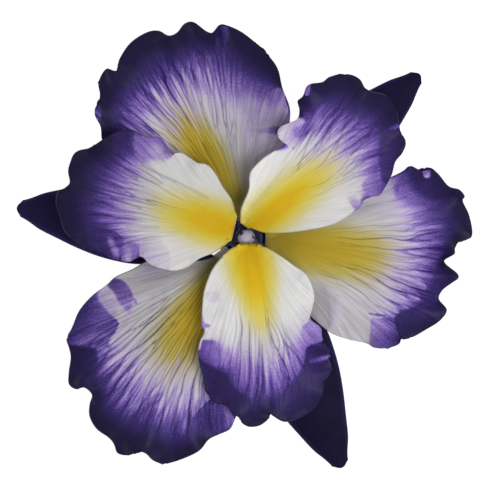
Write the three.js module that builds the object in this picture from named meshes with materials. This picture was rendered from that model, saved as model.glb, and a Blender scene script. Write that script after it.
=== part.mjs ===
// Iris flower head, laid face up: a receptacle, three dark sepals and two whorls of three frilled petals.
// Millimetres, +Z up along the flower's axis. The origin is the centre of the receptacle's flat underside.
import * as THREE from "three";

// Receptacle: radius and height of its turned outline, from the flat underside to the rounded top
const RECEPTACLE_SIDES = 32;
const RECEPTACLE_OUTLINE = [
  [7.6, 0], [8, 0.8], [7.4, 2.2], [6.2, 4.2], [4.8, 6], [3.8, 8], [3.1, 10.2], [2.7, 12.4], [2.2, 13.8],
  [1.2, 14.7],
];
const RECEPTACLE_HIGH = 15;
const SEAT_GAP = 0.3;

// Blades: thickness at the claw and at the rim
const CLAW_THICK = 1.6;
const RIM_THICK = 0.85;
const SEPAL_THICK = 1.2;

// Points across each row of a petal, from the foot of its claw to the throat, and from there to the outer rim
const CLAW_ROWS = [5, 5];
const BLADE_ROWS = [
  7, 9, 11, 13, 13, 15, 15, 17, 17, 19, 19, 21, 21, 23, 23, 25, 25, 29, 33, 37, 41, 45, 45,
];
const SEPAL_ROWS = [5, 7, 9, 11, 11, 11, 11, 11, 11, 9, 9, 7, 5];

// Petal whorls in mm: the claw's foot and the throat above the underside, the half width of the foot, how
// far and how soon the blade arches up, how far it droops at its reach, the height of one unit of ruffle,
// and the colour
const FRONT = {
  foot: 11, low: 17.5, footHalf: 0.9, rise: 6, soft: 7, droop: 4.5, reach: 50, ruffle: 1.7, color: 0xa592cf,
};
const BACK = {
  foot: 6.6, low: 10, footHalf: 1.6, rise: 6.5, soft: 12, droop: 4.5, reach: 55, ruffle: 1.9, color: 0x7f6fb0,
};

// The edge of every blade rolls down by this much, over about this far in from the rim
const ROLL_DOWN = 1.3;
const ROLL_WIDE = 4.5;

// How far a ruffle reaches in from the rim, and the points along the rim that it is worked out from
const RUFFLE_DEPTH = 9;
const RUFFLE_POINTS = 150;

// Each petal: the azimuth of its claw, the two ends of its throat, and its rim from one side of the throat
// round to the other as [x, y, ruffle], one point a crest or trough. Its sides end and its outer edge begins
// at the two rim points whose places in that list are its shoulders. Its creases are the broad ridges and
// valleys pressed into it, each [from x, y, to x, y, half width, height]
const PETALS = {
  petal_back_top: {
    whorl: BACK, claw: 104, shoulders: [8, 24], throat: [[-6.5, 9.5], [1.5, 10.5]],
    rim: [
      [-11, 12, 0], [-18, 15, 0.2], [-27, 18.5, 0.4], [-35.5, 22.5, 0], [-40.5, 27.5, -0.4],
      [-41.3, 32.2, 0.8], [-43, 36, 1.2], [-41.5, 40.5, 0], [-42, 44.5, -0.8], [-40, 48, 0.4],
      [-37, 47.5, 1.6], [-36, 51, 1], [-33, 55.5, -0.4], [-28.5, 58.5, -1.1], [-25, 59, -0.4],
      [-22, 57.5, 1.2], [-19.5, 58.5, 0.8], [-17.5, 61, -0.5], [-15, 61.5, -1.1], [-11.5, 59, -0.8],
      [-9.5, 58.5, -1.2], [-7.5, 60.5, 1.6], [-5.5, 60.5, 1.5], [-1, 58.5, 0], [4.5, 54, -1],
      [8.5, 49, -0.4], [10, 43, 0.5], [12, 37.5, 0.8], [12, 32.5, 0], [11.5, 26.5, -0.3], [9.5, 19.5, 0],
      [6, 13, 0],
    ],
    creases: [
      [-9.5, 57, -11, 50, 1.5, 0.7], [-4, 43, 5, 22, 3, -0.7], [0, 32.5, 8, 31, 1.4, 0.6],
      [-41, 37.5, -33, 38.5, 2, 0.7], [-38, 48, -30, 43.5, 2, -0.7], [-23.5, 57, -23, 50, 2, -0.6],
      [-18, 60, -19, 51, 2.5, 0.6], [-2, 55, -4, 45, 3, 0.5],
    ],
  },
  petal_back_right: {
    whorl: BACK, claw: 0, shoulders: [5, 34], throat: [[7.5, 2.6], [7.2, -3.2]],
    rim: [
      [12.5, 7.5, 0], [22.5, 12, 0.3], [31.5, 15, 0.4], [40.5, 17, 0.8], [45, 19, 1], [47, 20.5, 0.3],
      [49.5, 19.5, -0.3], [52.5, 20, 0.6], [55, 18.5, 0], [58, 15, -0.8], [61, 14, 0.2], [62.5, 12, 1.4],
      [62, 10.5, 0.6], [63.5, 7, -0.8], [64.5, 3, -1.2], [64.5, 0.5, -0.7], [63.2, -0.4, 0.2],
      [60.8, -1, 1.4], [59.5, -3, 1.7], [59.5, -4.5, 0.8], [58, -5.5, 0], [56.5, -6.5, -1.3],
      [57.5, -8, -0.5], [60, -10, 0.8], [60.5, -11.5, 1], [58.5, -13, 0.4], [56, -15, -1],
      [55, -17.5, -1.3], [57, -20.5, 0.3], [55, -23.5, 0], [51, -26, -0.8], [47.5, -28, -1],
      [44.5, -28.5, -1], [43.5, -30, 1.4], [40.5, -31, 1.7], [37, -31, 1], [34.5, -30, -0.8],
      [30, -29, -0.8], [25.5, -27.5, 0], [22.5, -25.5, 0.4], [18.5, -22, 0.4], [13.5, -17, 0],
      [9.5, -9.5, 0],
    ],
    creases: [
      [21, -15, 24, -23, 2.6, -0.7], [26.5, -18, 25, -25, 1.4, 0.5], [37, -24, 39.5, -30, 3, 0.6],
      [45, -11, 49, -14, 1.3, 0.6], [43.5, -16, 47.5, -19, 1.4, 0.6], [42.5, -14, 46.5, -16.5, 1.3, -0.4],
      [42.5, 18, 44.5, 12, 1.3, 0.5], [52, 19, 50, 11, 1.5, 0.5], [30, 13, 40, 9, 3, -0.5],
    ],
  },
  petal_back_lower_left: {
    whorl: BACK, claw: 222, shoulders: [11, 29], throat: [[-4.4, -9.2], [-9.2, -5.4]],
    rim: [
      [0, -18, 0], [-0.5, -30.5, 0], [-1, -42, 0.2], [-2, -47.5, 0.7], [-3.5, -51.5, 0.9], [-5, -54.5, 0.2],
      [-8, -56, -0.5], [-11, -57.5, -0.3], [-13.5, -60.5, 0.6], [-17, -62.5, 0], [-21, -64, -0.8],
      [-24, -64.5, -1], [-26.5, -63.5, -0.2], [-28.5, -61.5, 1], [-31, -61, 1.2], [-34, -62, 0],
      [-36.5, -61.5, -0.8], [-37.5, -59, -0.4], [-39, -57, 0.3], [-42.5, -54.5, -0.5], [-44.5, -51, -1],
      [-44.5, -47.5, 0], [-43.8, -44.6, 1.1], [-46, -42.5, 1.3], [-48.5, -43, 0.2], [-50.5, -41.5, -0.8],
      [-50.5, -38, -0.7], [-50, -34, 0], [-50.5, -31, 1], [-51, -29, 1.3], [-49.5, -25.5, 0.7],
      [-47.5, -21, 0], [-44, -17, -0.8], [-40, -14, -0.4], [-37, -11.4, 1.3], [-32.5, -9.4, 0.7],
      [-28, -7, 0], [-21, -5.2, 0], [-15, -4.6, 0],
    ],
    creases: [
      [-41.5, -15, -36.5, -21.5, 1.2, 0.6], [-39, -14, -34, -20, 1.6, -0.4],
      [-48.5, -33, -42, -33.5, 1.8, -0.4], [-48.5, -28, -42, -28, 1.8, 0.4], [-13, -48.5, -5, -50, 1.8, 0.7],
      [-13, -45.5, -6, -46, 1.3, -0.5], [-37.5, -58, -32, -52, 2, -0.6], [-28.5, -61, -27, -53, 2, 0.7],
      [-45, -44, -38, -41, 2, 0.6], [-50, -36, -43, -37, 2, -0.6], [-20, -62, -21, -54, 2.5, -0.5],
    ],
  },
  petal_front_left: {
    whorl: FRONT, claw: 143, shoulders: [12, 22], throat: [[-5, -0.8], [-2.6, 7]],
    rim: [
      [-9, -4, 0.1], [-13.5, -6, 0.5], [-17, -8.5, -0.3], [-20.5, -9, -0.5], [-24, -8.5, 0],
      [-27.5, -7.5, 0.6], [-29.5, -6, 1.3], [-31, -6, 0.7], [-33.5, -6.5, -0.5], [-36.5, -6, 0.6],
      [-39.5, -5, -0.3], [-42.5, -3.5, -0.8], [-46.5, -2.5, -0.3], [-49, -0.5, 0.6], [-51.5, 2, 0.3],
      [-53, 6.5, -0.5], [-54, 10, -0.3], [-53.5, 13, 0.5], [-51.2, 14.5, 1], [-50, 16, 0.8],
      [-50.5, 19, 0.1], [-50, 21.5, -0.5], [-48.5, 24.5, -0.8], [-44.7, 25.6, -0.5], [-40.8, 28, 0.4],
      [-37, 30, 0], [-33, 30.5, 0.5], [-30.5, 29.5, 1.1], [-28, 28.5, 0.6], [-25, 28.5, 0],
      [-23, 26.5, -0.3], [-21.5, 24, 0.8], [-18.5, 24, 0.4], [-16, 23, -0.2], [-13.5, 21.5, 0.7],
      [-11, 21, 0.4], [-8.5, 18.5, 0], [-6.5, 14.5, 0.2], [-4.2, 10.8, 0],
    ],
    creases: [
      [-30, 20.5, -12, 9.5, 1.3, -0.6], [-19, 21.5, -10, 17, 2.5, 0.6], [-29, 26, -22, 23.5, 2, 0.6],
      [-38.5, -5, -36, -1, 1.1, 0.7], [-36.4, -4.5, -34.8, -1.5, 1.2, -0.5], [-34.5, -6, -32.5, -2, 1, 0.7],
      [-31, -6, -29.5, -2, 1.3, -0.5], [-45, 24, -40, 18, 2.5, -0.6], [-28, -6.5, -24, -3, 1.6, 0.5],
    ],
  },
  petal_front_upper_right: {
    whorl: FRONT, claw: 95, shoulders: [19, 25], throat: [[-1.4, 5.2], [1.2, 3.2]],
    rim: [
      [-1, 8.5, 0], [1, 13.5, 0.2], [1.2, 17.5, 0.3], [2, 19.5, 0.5], [5, 22.5, 0], [8, 24.5, 0.2],
      [11.2, 26.4, 0.8], [9.6, 28.2, 1.3], [9.2, 30.2, 1.5], [10.4, 31.8, 1], [12.8, 32.8, 0.6],
      [15, 34, 0], [15.5, 36.5, -0.4], [15, 39, 0], [16.5, 40.5, 0.7], [17.5, 43, 1.6], [19, 44, 1.6],
      [22, 44.5, 0.6], [24, 46, -0.4], [26.5, 46.5, -0.8], [30, 46.5, -0.3], [32.5, 45, 0.3],
      [34, 42.5, 1.1], [36.5, 41.5, 0.6], [40, 40.5, -0.3], [42.5, 37.5, -0.6], [43.5, 33.5, 0],
      [44, 30.5, 1.1], [45.5, 27.5, -0.3], [44.5, 24.5, -0.8], [42.5, 22, -0.2], [41.5, 18.5, 0.6],
      [40, 15.5, 0], [38, 12.5, -0.3], [36, 12, 0.7], [33.5, 11, 1.1], [32.5, 9, 0.4], [29, 6.5, 0],
      [24.5, 4, -0.3], [17.5, 2.5, 0], [11, 1.8, 0], [5.4, 1.8, 0],
    ],
    creases: [
      [10, 30.5, 16, 33, 1.4, 0.6], [13, 28.5, 19.5, 32, 1.4, -0.4], [38.5, 28, 38, 15, 1.8, -0.6],
      [40, 31.8, 43, 32, 1.4, 0.4], [34, 15, 39, 13.5, 1.8, 0.6], [17, 43, 19, 37, 1.5, 0.6],
      [30, 46, 29, 38, 2.5, -0.5], [34, 42, 31, 36, 2, 0.6], [30, 12.5, 33, 8.5, 1.5, 0.5],
    ],
  },
  petal_front_bottom: {
    whorl: FRONT, claw: 286, shoulders: [12, 28], throat: [[3, -2.4], [-1.6, -2.2]],
    rim: [
      [5.6, -3.2, 0], [9.5, -5.5, 0], [13, -8, 0.2], [17, -11, 0.4], [19, -16, 0.3], [18.6, -20, 0.3],
      [17.9, -22.6, 0.9], [18.8, -24.2, 1.1], [21, -26, 0.3], [21.5, -29, -0.4], [23.5, -32.5, 0.4],
      [23.2, -34.5, 1.4], [24, -37.5, -0.3], [22.2, -40.5, 0], [21.5, -44, 0.6], [19, -48.5, -0.3],
      [15, -51, -0.5], [11, -52, 0.4], [8, -50.5, 0.8], [6.5, -49.5, 1], [6.4, -51, -0.5], [4, -53, -0.8],
      [1, -53.5, -0.6], [-1, -52.5, 0.3], [-1.8, -51, 1], [-4, -49.5, 0.6], [-5.5, -47.5, -0.2],
      [-9, -46.5, -0.5], [-11, -43.5, -0.3], [-12.2, -39, 0.3], [-13.2, -34, 0.7], [-12.8, -30, 0.7],
      [-11.4, -27, 0.2], [-12.2, -25, 0.6], [-12, -20, 0.2], [-11.4, -15, 0], [-9, -9, 0], [-4.6, -4, 0],
    ],
    creases: [
      [-12.5, -29.5, -6, -31, 1.8, 0.6], [-11, -26.5, -7, -27.5, 1.5, -0.4], [17, -25.5, 21, -28, 2, 0.6],
      [17, -30.5, 21, -31, 1.7, -0.4], [18.5, -34.5, 22.5, -35, 1.7, 0.4],
      [6.8, -48.5, 5.5, -40, 1.6, -0.6], [16, -12, 14, -18, 2.5, 0.5], [-10, -15, -8.5, -20, 2, -0.4],
      [-11, -41, -5, -38, 2, -0.5],
    ],
  },
};

// Sepals: where each points, its length from the axis, its width against the shared outline, and how far
// it bends aside halfway
const SEPALS = {
  sepal_left: { points: 172.5, length: 66.2, wide: 0.93, bend: 0 },
  sepal_upper_right: { points: 43.3, length: 68, wide: 0.83, bend: 0 },
  sepal_lower_right: { points: 292.7, length: 70.8, wide: 0.91, bend: -0.7 },
};
// Half width of a sepal against the share of its length, from its foot to its pointed tip
const SEPAL_HALF_WIDTH = [3, 5.5, 8.6, 11, 12, 11.8, 10.9, 9.3, 7.2, 4.8, 1.5];
// Height of a sepal's midrib at the same shares of its length
const SEPAL_HEIGHT = [3, 4.6, 6.2, 7.2, 7.2, 6.5, 5.4, 4.2, 3, 2.2, 2];
const SEPAL_FOOT_RADIUS = 7.3;
const SEPAL_SAG = 0.7;

const radians = THREE.MathUtils.degToRad;
const lerp = THREE.MathUtils.lerp;

// Catmull-Rom curve through evenly weighted points of any dimension, at a place from 0 to points - 1
function through(points, place) {
  const last = points.length - 1;
  const i = Math.min(Math.floor(place), last - 1);
  const u = place - i;
  const [a, b, c, d] = [i - 1, i, i + 1, i + 2].map((k) => points[Math.min(Math.max(k, 0), last)]);
  return b.map((_, k) => 0.5 * (2 * b[k] + (c[k] - a[k]) * u
    + (2 * a[k] - 5 * b[k] + 4 * c[k] - d[k]) * u * u
    + (3 * b[k] - a[k] - 3 * c[k] + d[k]) * u * u * u));
}

// Share of a path's plan length at which each of its points lies
function sharesOf(path) {
  const lengths = [0];
  path.slice(1).forEach(([x, y], i) => {
    lengths.push(lengths[i] + Math.hypot(x - path[i][0], y - path[i][1]));
  });
  return lengths.map((length) => length / lengths.at(-1));
}

// Point of a path at a share of its plan length
function pointAt(path, shares, share) {
  let i = 0;
  while (i < shares.length - 2 && share > shares[i + 1]) i += 1;
  return through(path, i + Math.min((share - shares[i]) / (shares[i + 1] - shares[i]), 1));
}

// Height that the rim gives a point: its ruffle averaged by nearness, fading inwards, less the rolled edge
function rimHeight(rim, unit, x, y) {
  let weights = 0;
  let sum = 0;
  let nearest = Infinity;
  rim.forEach(([rx, ry, ruffle]) => {
    const apart = (x - rx) ** 2 + (y - ry) ** 2;
    const weight = 1 / (apart + 0.5) ** 3;
    weights += weight;
    sum += weight * ruffle;
    nearest = Math.min(nearest, apart);
  });
  const inwards = Math.sqrt(nearest);
  const fade = Math.exp(-((inwards / RUFFLE_DEPTH) ** 1.5));
  return unit * fade * (sum / weights) - ROLL_DOWN * Math.exp(-((inwards / ROLL_WIDE) ** 2));
}

// Height that the creases give a point, each a bell across the line between its two ends
function creaseHeight(creases, x, y) {
  return creases.reduce((sum, [x0, y0, x1, y1, half, high]) => {
    const along = ((x - x0) * (x1 - x0) + (y - y0) * (y1 - y0)) / ((x1 - x0) ** 2 + (y1 - y0) ** 2);
    const t = Math.min(Math.max(along, 0), 1);
    const away = Math.hypot(x - lerp(x0, x1, t), y - lerp(y0, y1, t));
    return sum + high * Math.exp(-((away / half) ** 2));
  }, 0);
}

// Middle surface of a petal's blade: u runs across it, v from the throat to the outer edge. In plan it is
// the patch spanned by four edges, the throat, the two sides and the outer edge
function bladeSurface(petal) {
  const { whorl, throat } = petal;
  const path = [[...throat[0], 0], ...petal.rim, [...throat[1], 0]];
  const shares = sharesOf(path);
  const [left, right] = petal.shoulders.map((place) => shares[place + 1]);
  const at = (share) => pointAt(path, shares, share);
  const rim = Array.from({ length: RUFFLE_POINTS }, (_, i) => at(i / (RUFFLE_POINTS - 1)));
  const corners = [throat[0], throat[1], at(left), at(right)];
  const centre = [(throat[0][0] + throat[1][0]) / 2, (throat[0][1] + throat[1][1]) / 2];

  return (u, v) => {
    const [outer, first, second] = [at(lerp(left, right, u)), at(v * left), at(1 - v * (1 - right))];
    const [x, y] = [0, 1].map((k) => (
      (1 - v) * lerp(throat[0][k], throat[1][k], u) + v * outer[k] + (1 - u) * first[k] + u * second[k]
      - (1 - v) * lerp(corners[0][k], corners[1][k], u) - v * lerp(corners[2][k], corners[3][k], u)));
    const far = Math.hypot(x - centre[0], y - centre[1]);
    const arch = whorl.rise * (1 - Math.exp(-far / whorl.soft)) - whorl.droop * (far / whorl.reach) ** 2;
    const high = whorl.low + arch + rimHeight(rim, whorl.ruffle, x, y) + creaseHeight(petal.creases, x, y);
    return [x, y, high];
  };
}

// Middle surface of a petal's claw: u runs across it, up from its foot on the receptacle to the throat
function clawSurface(petal, blade) {
  const { whorl } = petal;
  const seat = receptacleRadius(whorl.foot) + SEAT_GAP + CLAW_THICK / 2;
  return (u, up) => {
    const turn = radians(petal.claw) + (1 - 2 * u) * (whorl.footHalf / seat);
    const top = blade(u, 0);
    return [
      lerp(seat * Math.cos(turn), top[0], up ** 2),
      lerp(seat * Math.sin(turn), top[1], up ** 2),
      lerp(whorl.foot, top[2], up),
    ];
  };
}

// Middle surface of a sepal: u runs across it, v from its foot at the receptacle to its tip
function sepalSurface(sepal) {
  const axis = [Math.cos(radians(sepal.points)), Math.sin(radians(sepal.points))];
  const last = SEPAL_HALF_WIDTH.length - 1;
  return (u, v) => {
    const out = lerp(SEPAL_FOOT_RADIUS, sepal.length, v);
    const [half] = through(SEPAL_HALF_WIDTH.map((width) => [width]), v * last);
    const [high] = through(SEPAL_HEIGHT.map((height) => [height]), v * last);
    const share = 1 - 2 * u;
    const side = share * half * sepal.wide + 4 * sepal.bend * v * (1 - v);
    return [axis[0] * out - axis[1] * side, axis[1] * out + axis[0] * side, high - SEPAL_SAG * share ** 2];
  };
}

// A row of points across a surface, closer together near its two sides where the edge is waved
function rowAcross(surface, v, count, evenness, thickness) {
  return Array.from({ length: count }, (_, i) => {
    const even = i / (count - 1);
    const u = lerp(0.5 - 0.5 * Math.cos(Math.PI * even), even, evenness);
    return { u, thickness, point: surface(u, v) };
  });
}

// Triangles between two rows of points, each row numbered on from its start
function bridge(lower, lowerStart, upper, upperStart) {
  const triangles = [];
  let i = 0;
  let j = 0;
  while (i < lower.length - 1 || j < upper.length - 1) {
    const along = j === upper.length - 1 || (i < lower.length - 1 && lower[i + 1].u <= upper[j + 1].u);
    if (along) {
      triangles.push([lowerStart + i, upperStart + j, lowerStart + i + 1]);
      i += 1;
    } else {
      triangles.push([lowerStart + i, upperStart + j, upperStart + j + 1]);
      j += 1;
    }
  }
  return triangles;
}

// Closed blade round rows of middle points: the same triangles on both faces, and a strip round the edge
function bladeGeometry(rows) {
  const starts = rows.map((_, k) => rows.slice(0, k).reduce((sum, row) => sum + row.length, 0));
  const triangles = rows.slice(1).flatMap((row, k) => bridge(rows[k], starts[k], row, starts[k + 1]));
  const points = rows.flat();
  const middle = new THREE.BufferGeometry();
  middle.setAttribute("position", new THREE.Float32BufferAttribute(points.flatMap((p) => p.point), 3));
  middle.setIndex(triangles.flatMap(([a, b, c]) => [a, c, b]));
  middle.computeVertexNormals();

  const top = [];
  const bottom = [];
  points.forEach(({ point, thickness }, i) => {
    const half = new THREE.Vector3().fromBufferAttribute(middle.attributes.normal, i);
    half.multiplyScalar(thickness / 2);
    const centre = new THREE.Vector3(...point);
    top.push(...centre.clone().add(half).toArray());
    bottom.push(...centre.clone().sub(half).toArray());
  });

  const last = rows.length - 1;
  const edge = [
    ...rows[0].map((_, i) => i),
    ...rows.slice(1, last).map((row, k) => starts[k + 1] + row.length - 1),
    ...rows[last].map((_, i) => starts[last] + rows[last].length - 1 - i),
    ...starts.slice(1, last).reverse(),
  ];
  const under = points.length;
  const index = triangles.flatMap(([a, b, c]) => [a, c, b, under + a, under + b, under + c]);
  edge.forEach((a, k) => {
    const b = edge[(k + 1) % edge.length];
    index.push(b, a, under + a, b, under + a, under + b);
  });
  const geometry = new THREE.BufferGeometry();
  geometry.setAttribute("position", new THREE.Float32BufferAttribute([...top, ...bottom], 3));
  geometry.setIndex(index);
  geometry.computeVertexNormals();
  return geometry;
}

// Radius of the receptacle at a height
function receptacleRadius(height) {
  const above = RECEPTACLE_OUTLINE.findIndex((point) => point[1] > height);
  const [low, high] = [RECEPTACLE_OUTLINE[above - 1], RECEPTACLE_OUTLINE[above]];
  return lerp(low[0], high[0], (height - low[1]) / (high[1] - low[1]));
}

function mesh(name, geometry, material) {
  const piece = new THREE.Mesh(geometry, material);
  piece.name = name;
  return piece;
}

function makeReceptacle() {
  const closed = [[0, 0], ...RECEPTACLE_OUTLINE, [0, RECEPTACLE_HIGH]];
  const outline = closed.map(([radius, height]) => new THREE.Vector2(radius, height));
  const geometry = new THREE.LatheGeometry(outline, RECEPTACLE_SIDES);
  geometry.rotateX(Math.PI / 2);
  return mesh("receptacle", geometry, new THREE.MeshStandardMaterial({ color: 0x9a97ab, roughness: 0.7 }));
}

function makeSepal(name, sepal) {
  const surface = sepalSurface(sepal);
  const steps = SEPAL_ROWS.length - 1;
  const rows = SEPAL_ROWS.map((count, k) => rowAcross(surface, k / steps, count, 1, SEPAL_THICK));
  return mesh(name, bladeGeometry(rows), new THREE.MeshStandardMaterial({ color: 0x241c44, roughness: 0.6 }));
}

function makePetal(name, petal) {
  const blade = bladeSurface(petal);
  const claw = clawSurface(petal, blade);
  const rows = [
    ...CLAW_ROWS.map((count, k) => rowAcross(claw, k / CLAW_ROWS.length, count, 1, CLAW_THICK)),
    ...BLADE_ROWS.map((count, k) => {
      const v = k / (BLADE_ROWS.length - 1);
      return rowAcross(blade, v, count, v ** 2, lerp(CLAW_THICK, RIM_THICK, Math.min(4 * v, 1)));
    }),
  ];
  const material = new THREE.MeshStandardMaterial({ color: petal.whorl.color, roughness: 0.55 });
  return mesh(name, bladeGeometry(rows), material);
}

const flower = new THREE.Group();
flower.add(makeReceptacle());
Object.entries(SEPALS).forEach(([name, sepal]) => flower.add(makeSepal(name, sepal)));
Object.entries(PETALS).forEach(([name, petal]) => flower.add(makePetal(name, petal)));

export default flower;
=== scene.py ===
# %% [markdown]
# An iris flower head, laid face up. It has a short receptacle, three dark smooth sepals at the very
# back, and two whorls of three frilled petals. The petals look hand-made: a pale blade pressed in a
# veined mould, with yellow dusted at the throat and violet, then near-black indigo, dusted in from the
# rim. Every piece here is a surface worked out with numpy in millimetres, in the CAD part's own frame,
# so it lies where its CAD node lies.

# %% Load the frame
import math

import bpy
import numpy as np
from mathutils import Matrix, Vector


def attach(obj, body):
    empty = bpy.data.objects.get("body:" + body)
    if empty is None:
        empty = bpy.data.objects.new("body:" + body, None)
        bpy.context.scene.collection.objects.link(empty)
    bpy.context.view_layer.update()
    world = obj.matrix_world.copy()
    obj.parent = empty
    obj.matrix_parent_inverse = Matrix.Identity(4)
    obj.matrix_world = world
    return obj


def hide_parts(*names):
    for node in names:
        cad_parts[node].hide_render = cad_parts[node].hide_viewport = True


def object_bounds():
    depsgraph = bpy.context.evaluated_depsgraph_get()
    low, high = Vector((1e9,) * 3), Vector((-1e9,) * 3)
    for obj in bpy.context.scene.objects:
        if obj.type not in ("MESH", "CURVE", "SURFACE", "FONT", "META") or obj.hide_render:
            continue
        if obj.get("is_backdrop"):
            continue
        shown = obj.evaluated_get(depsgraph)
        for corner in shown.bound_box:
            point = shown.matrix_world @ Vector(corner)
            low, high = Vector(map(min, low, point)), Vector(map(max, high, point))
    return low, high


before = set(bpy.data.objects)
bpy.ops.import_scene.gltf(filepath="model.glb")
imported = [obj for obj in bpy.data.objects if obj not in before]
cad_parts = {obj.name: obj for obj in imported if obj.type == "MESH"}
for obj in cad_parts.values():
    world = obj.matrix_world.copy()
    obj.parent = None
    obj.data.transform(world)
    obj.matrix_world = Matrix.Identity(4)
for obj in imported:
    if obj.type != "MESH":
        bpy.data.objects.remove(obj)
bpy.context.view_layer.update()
MM = 0.001

# %% [markdown]
# The flower has no straight line in it, so its outlines are curves through a few chosen points. A
# Catmull-Rom curve passes through every point it is given, which makes it easy to say where a crest or
# a notch of the rim lies.


# %% Curves through chosen points
def through(points, place):
    """Point of a Catmull-Rom curve: at place i + t it is half of 2b + (c - a)t + (2a - 5b + 4c - d)t²
    + (3b - a - 3c + d)t³, where a, b, c, d are the points i - 1 to i + 2. The ends are repeated."""
    last = len(points) - 1
    i = np.clip(np.floor(place).astype(int), 0, last - 1)
    t = (place - i)[..., None]
    a, b, c, d = (points[np.clip(i + k, 0, last)] for k in (-1, 0, 1, 2))
    return 0.5 * (2 * b + (c - a) * t + (2 * a - 5 * b + 4 * c - d) * t**2 + (3 * b - a - 3 * c + d) * t**3)


def shares_of(path):
    """Share of a path's plan length at which each of its points lies."""
    steps = np.hypot(*np.diff(path[:, :2], axis=0).T)
    lengths = np.concatenate([[0], np.cumsum(steps)])
    return lengths / lengths[-1]


def point_at(path, shares, share):
    """Point of a path at a share of its plan length, with the place between two points by length."""
    i = np.clip(np.searchsorted(shares, share, side="left") - 1, 0, len(shares) - 2)
    return through(path, i + np.clip((share - shares[i]) / (shares[i + 1] - shares[i]), 0, 1))


def lerp(a, b, t):
    """The value that lies at a share t of the way from a to b: a + (b - a) t."""
    return a + (b - a) * t


bend = np.array([[0.0, 0.0], [1.0, 1.0], [2.0, 0.0]])
print("a curve over three points, halfway to its crest:", through(bend, np.array([0.5])).round(3).tolist())

# %% [markdown]
# Petals grow, so nothing on them repeats exactly. The irregular things, such as where a vein starts and
# how it wanders, come from two small functions that always give the same number for the same place.


# %% Repeatable irregularity
def draw(number, salt):
    """A number from 0 to 1 for each whole number: the fraction of a large multiple of its sine."""
    value = np.sin(number * 12.9898 + salt * 78.233) * 43758.5453
    return value - np.floor(value)


def wander(x, y, salt):
    """Smooth noise from -1 to 1 with a hump a unit: drawn values at whole places, joined by 3t² - 2t³."""
    i, j = np.floor(x), np.floor(y)
    s, t = (3 * f**2 - 2 * f**3 for f in (x - i, y - j))
    corner = [[draw(i + di + 57 * (j + dj), salt) for di in (0, 1)] for dj in (0, 1)]
    near, far = (lerp(row[0], row[1], s) for row in corner)
    return 2 * lerp(near, far, t) - 1


print("wander at five places:", wander(np.arange(5) / 3, np.zeros(5), 1).round(2).tolist())

# %% [markdown]
# Each petal has the CAD part's numbers: the way its claw points, its throat, and its rim from one side
# of the throat round to the other as [x, y, height of the ruffle] in mm, with the two shoulders that
# part its sides from its outer edge. Some rim points, and one end of a throat, lie up to 0.8 mm from the
# CAD part's, and spread lets a whole rim out by so many mm. Both bring the outline closer to the
# photograph's.
#
# The other numbers only show here:
# - fan is the way the veins run, and veined says where across the fan and from how far out;
# - gold is the egg-shaped yellow patch in the throat;
# - light is the petal's painted light at its two sides, and deep its painted shade down in the throat;
# - dark_foot says how far up the claw is painted near-black, as painted shade down by the receptacle;
# - claw_painted_light brightens the claw as painted light, and claw_pale takes its yellow off;
# - dust is how far the colour reaches in, as [place in the rim list, indigo, violet] in mm.
#
# Patches change the dust, each an outline of [x, y, softness, tone], and a few of them are a painted
# highlight and painted shadows. Painted shading places multiply the light in the same way, as painted shade,
# and as painted light above 1. Creases are broad ridges and valleys, each [from x, y, to x, y, half width,
# height], and marks are the few bold vein lines, with a darkness for the height.

# %% The petals' numbers
FRONT = dict(foot=11, low=17.5, foot_half=0.9, rise=6, soft=7, droop=4.5, reach=50, ruffle=1.7)
BACK = dict(foot=6.6, low=10, foot_half=1.6, rise=6.5, soft=12, droop=4.5, reach=55, ruffle=1.9)
CLAW_THICK = 1.6
RIM_THICK = 0.85
ROLL_DOWN = 1.3
ROLL_WIDE = 4.5
RUFFLE_DEPTH = 9
SEAT_GAP = 0.3

PETALS = {}
print("claws rise in mm, front and back:", FRONT["low"] - FRONT["foot"], round(BACK["low"] - BACK["foot"], 1))

# %% [markdown]
# The top petal of the back whorl. Its yellow leans to the left, as the petal itself does, and its right
# side is left pale, with one violet fold.

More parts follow.
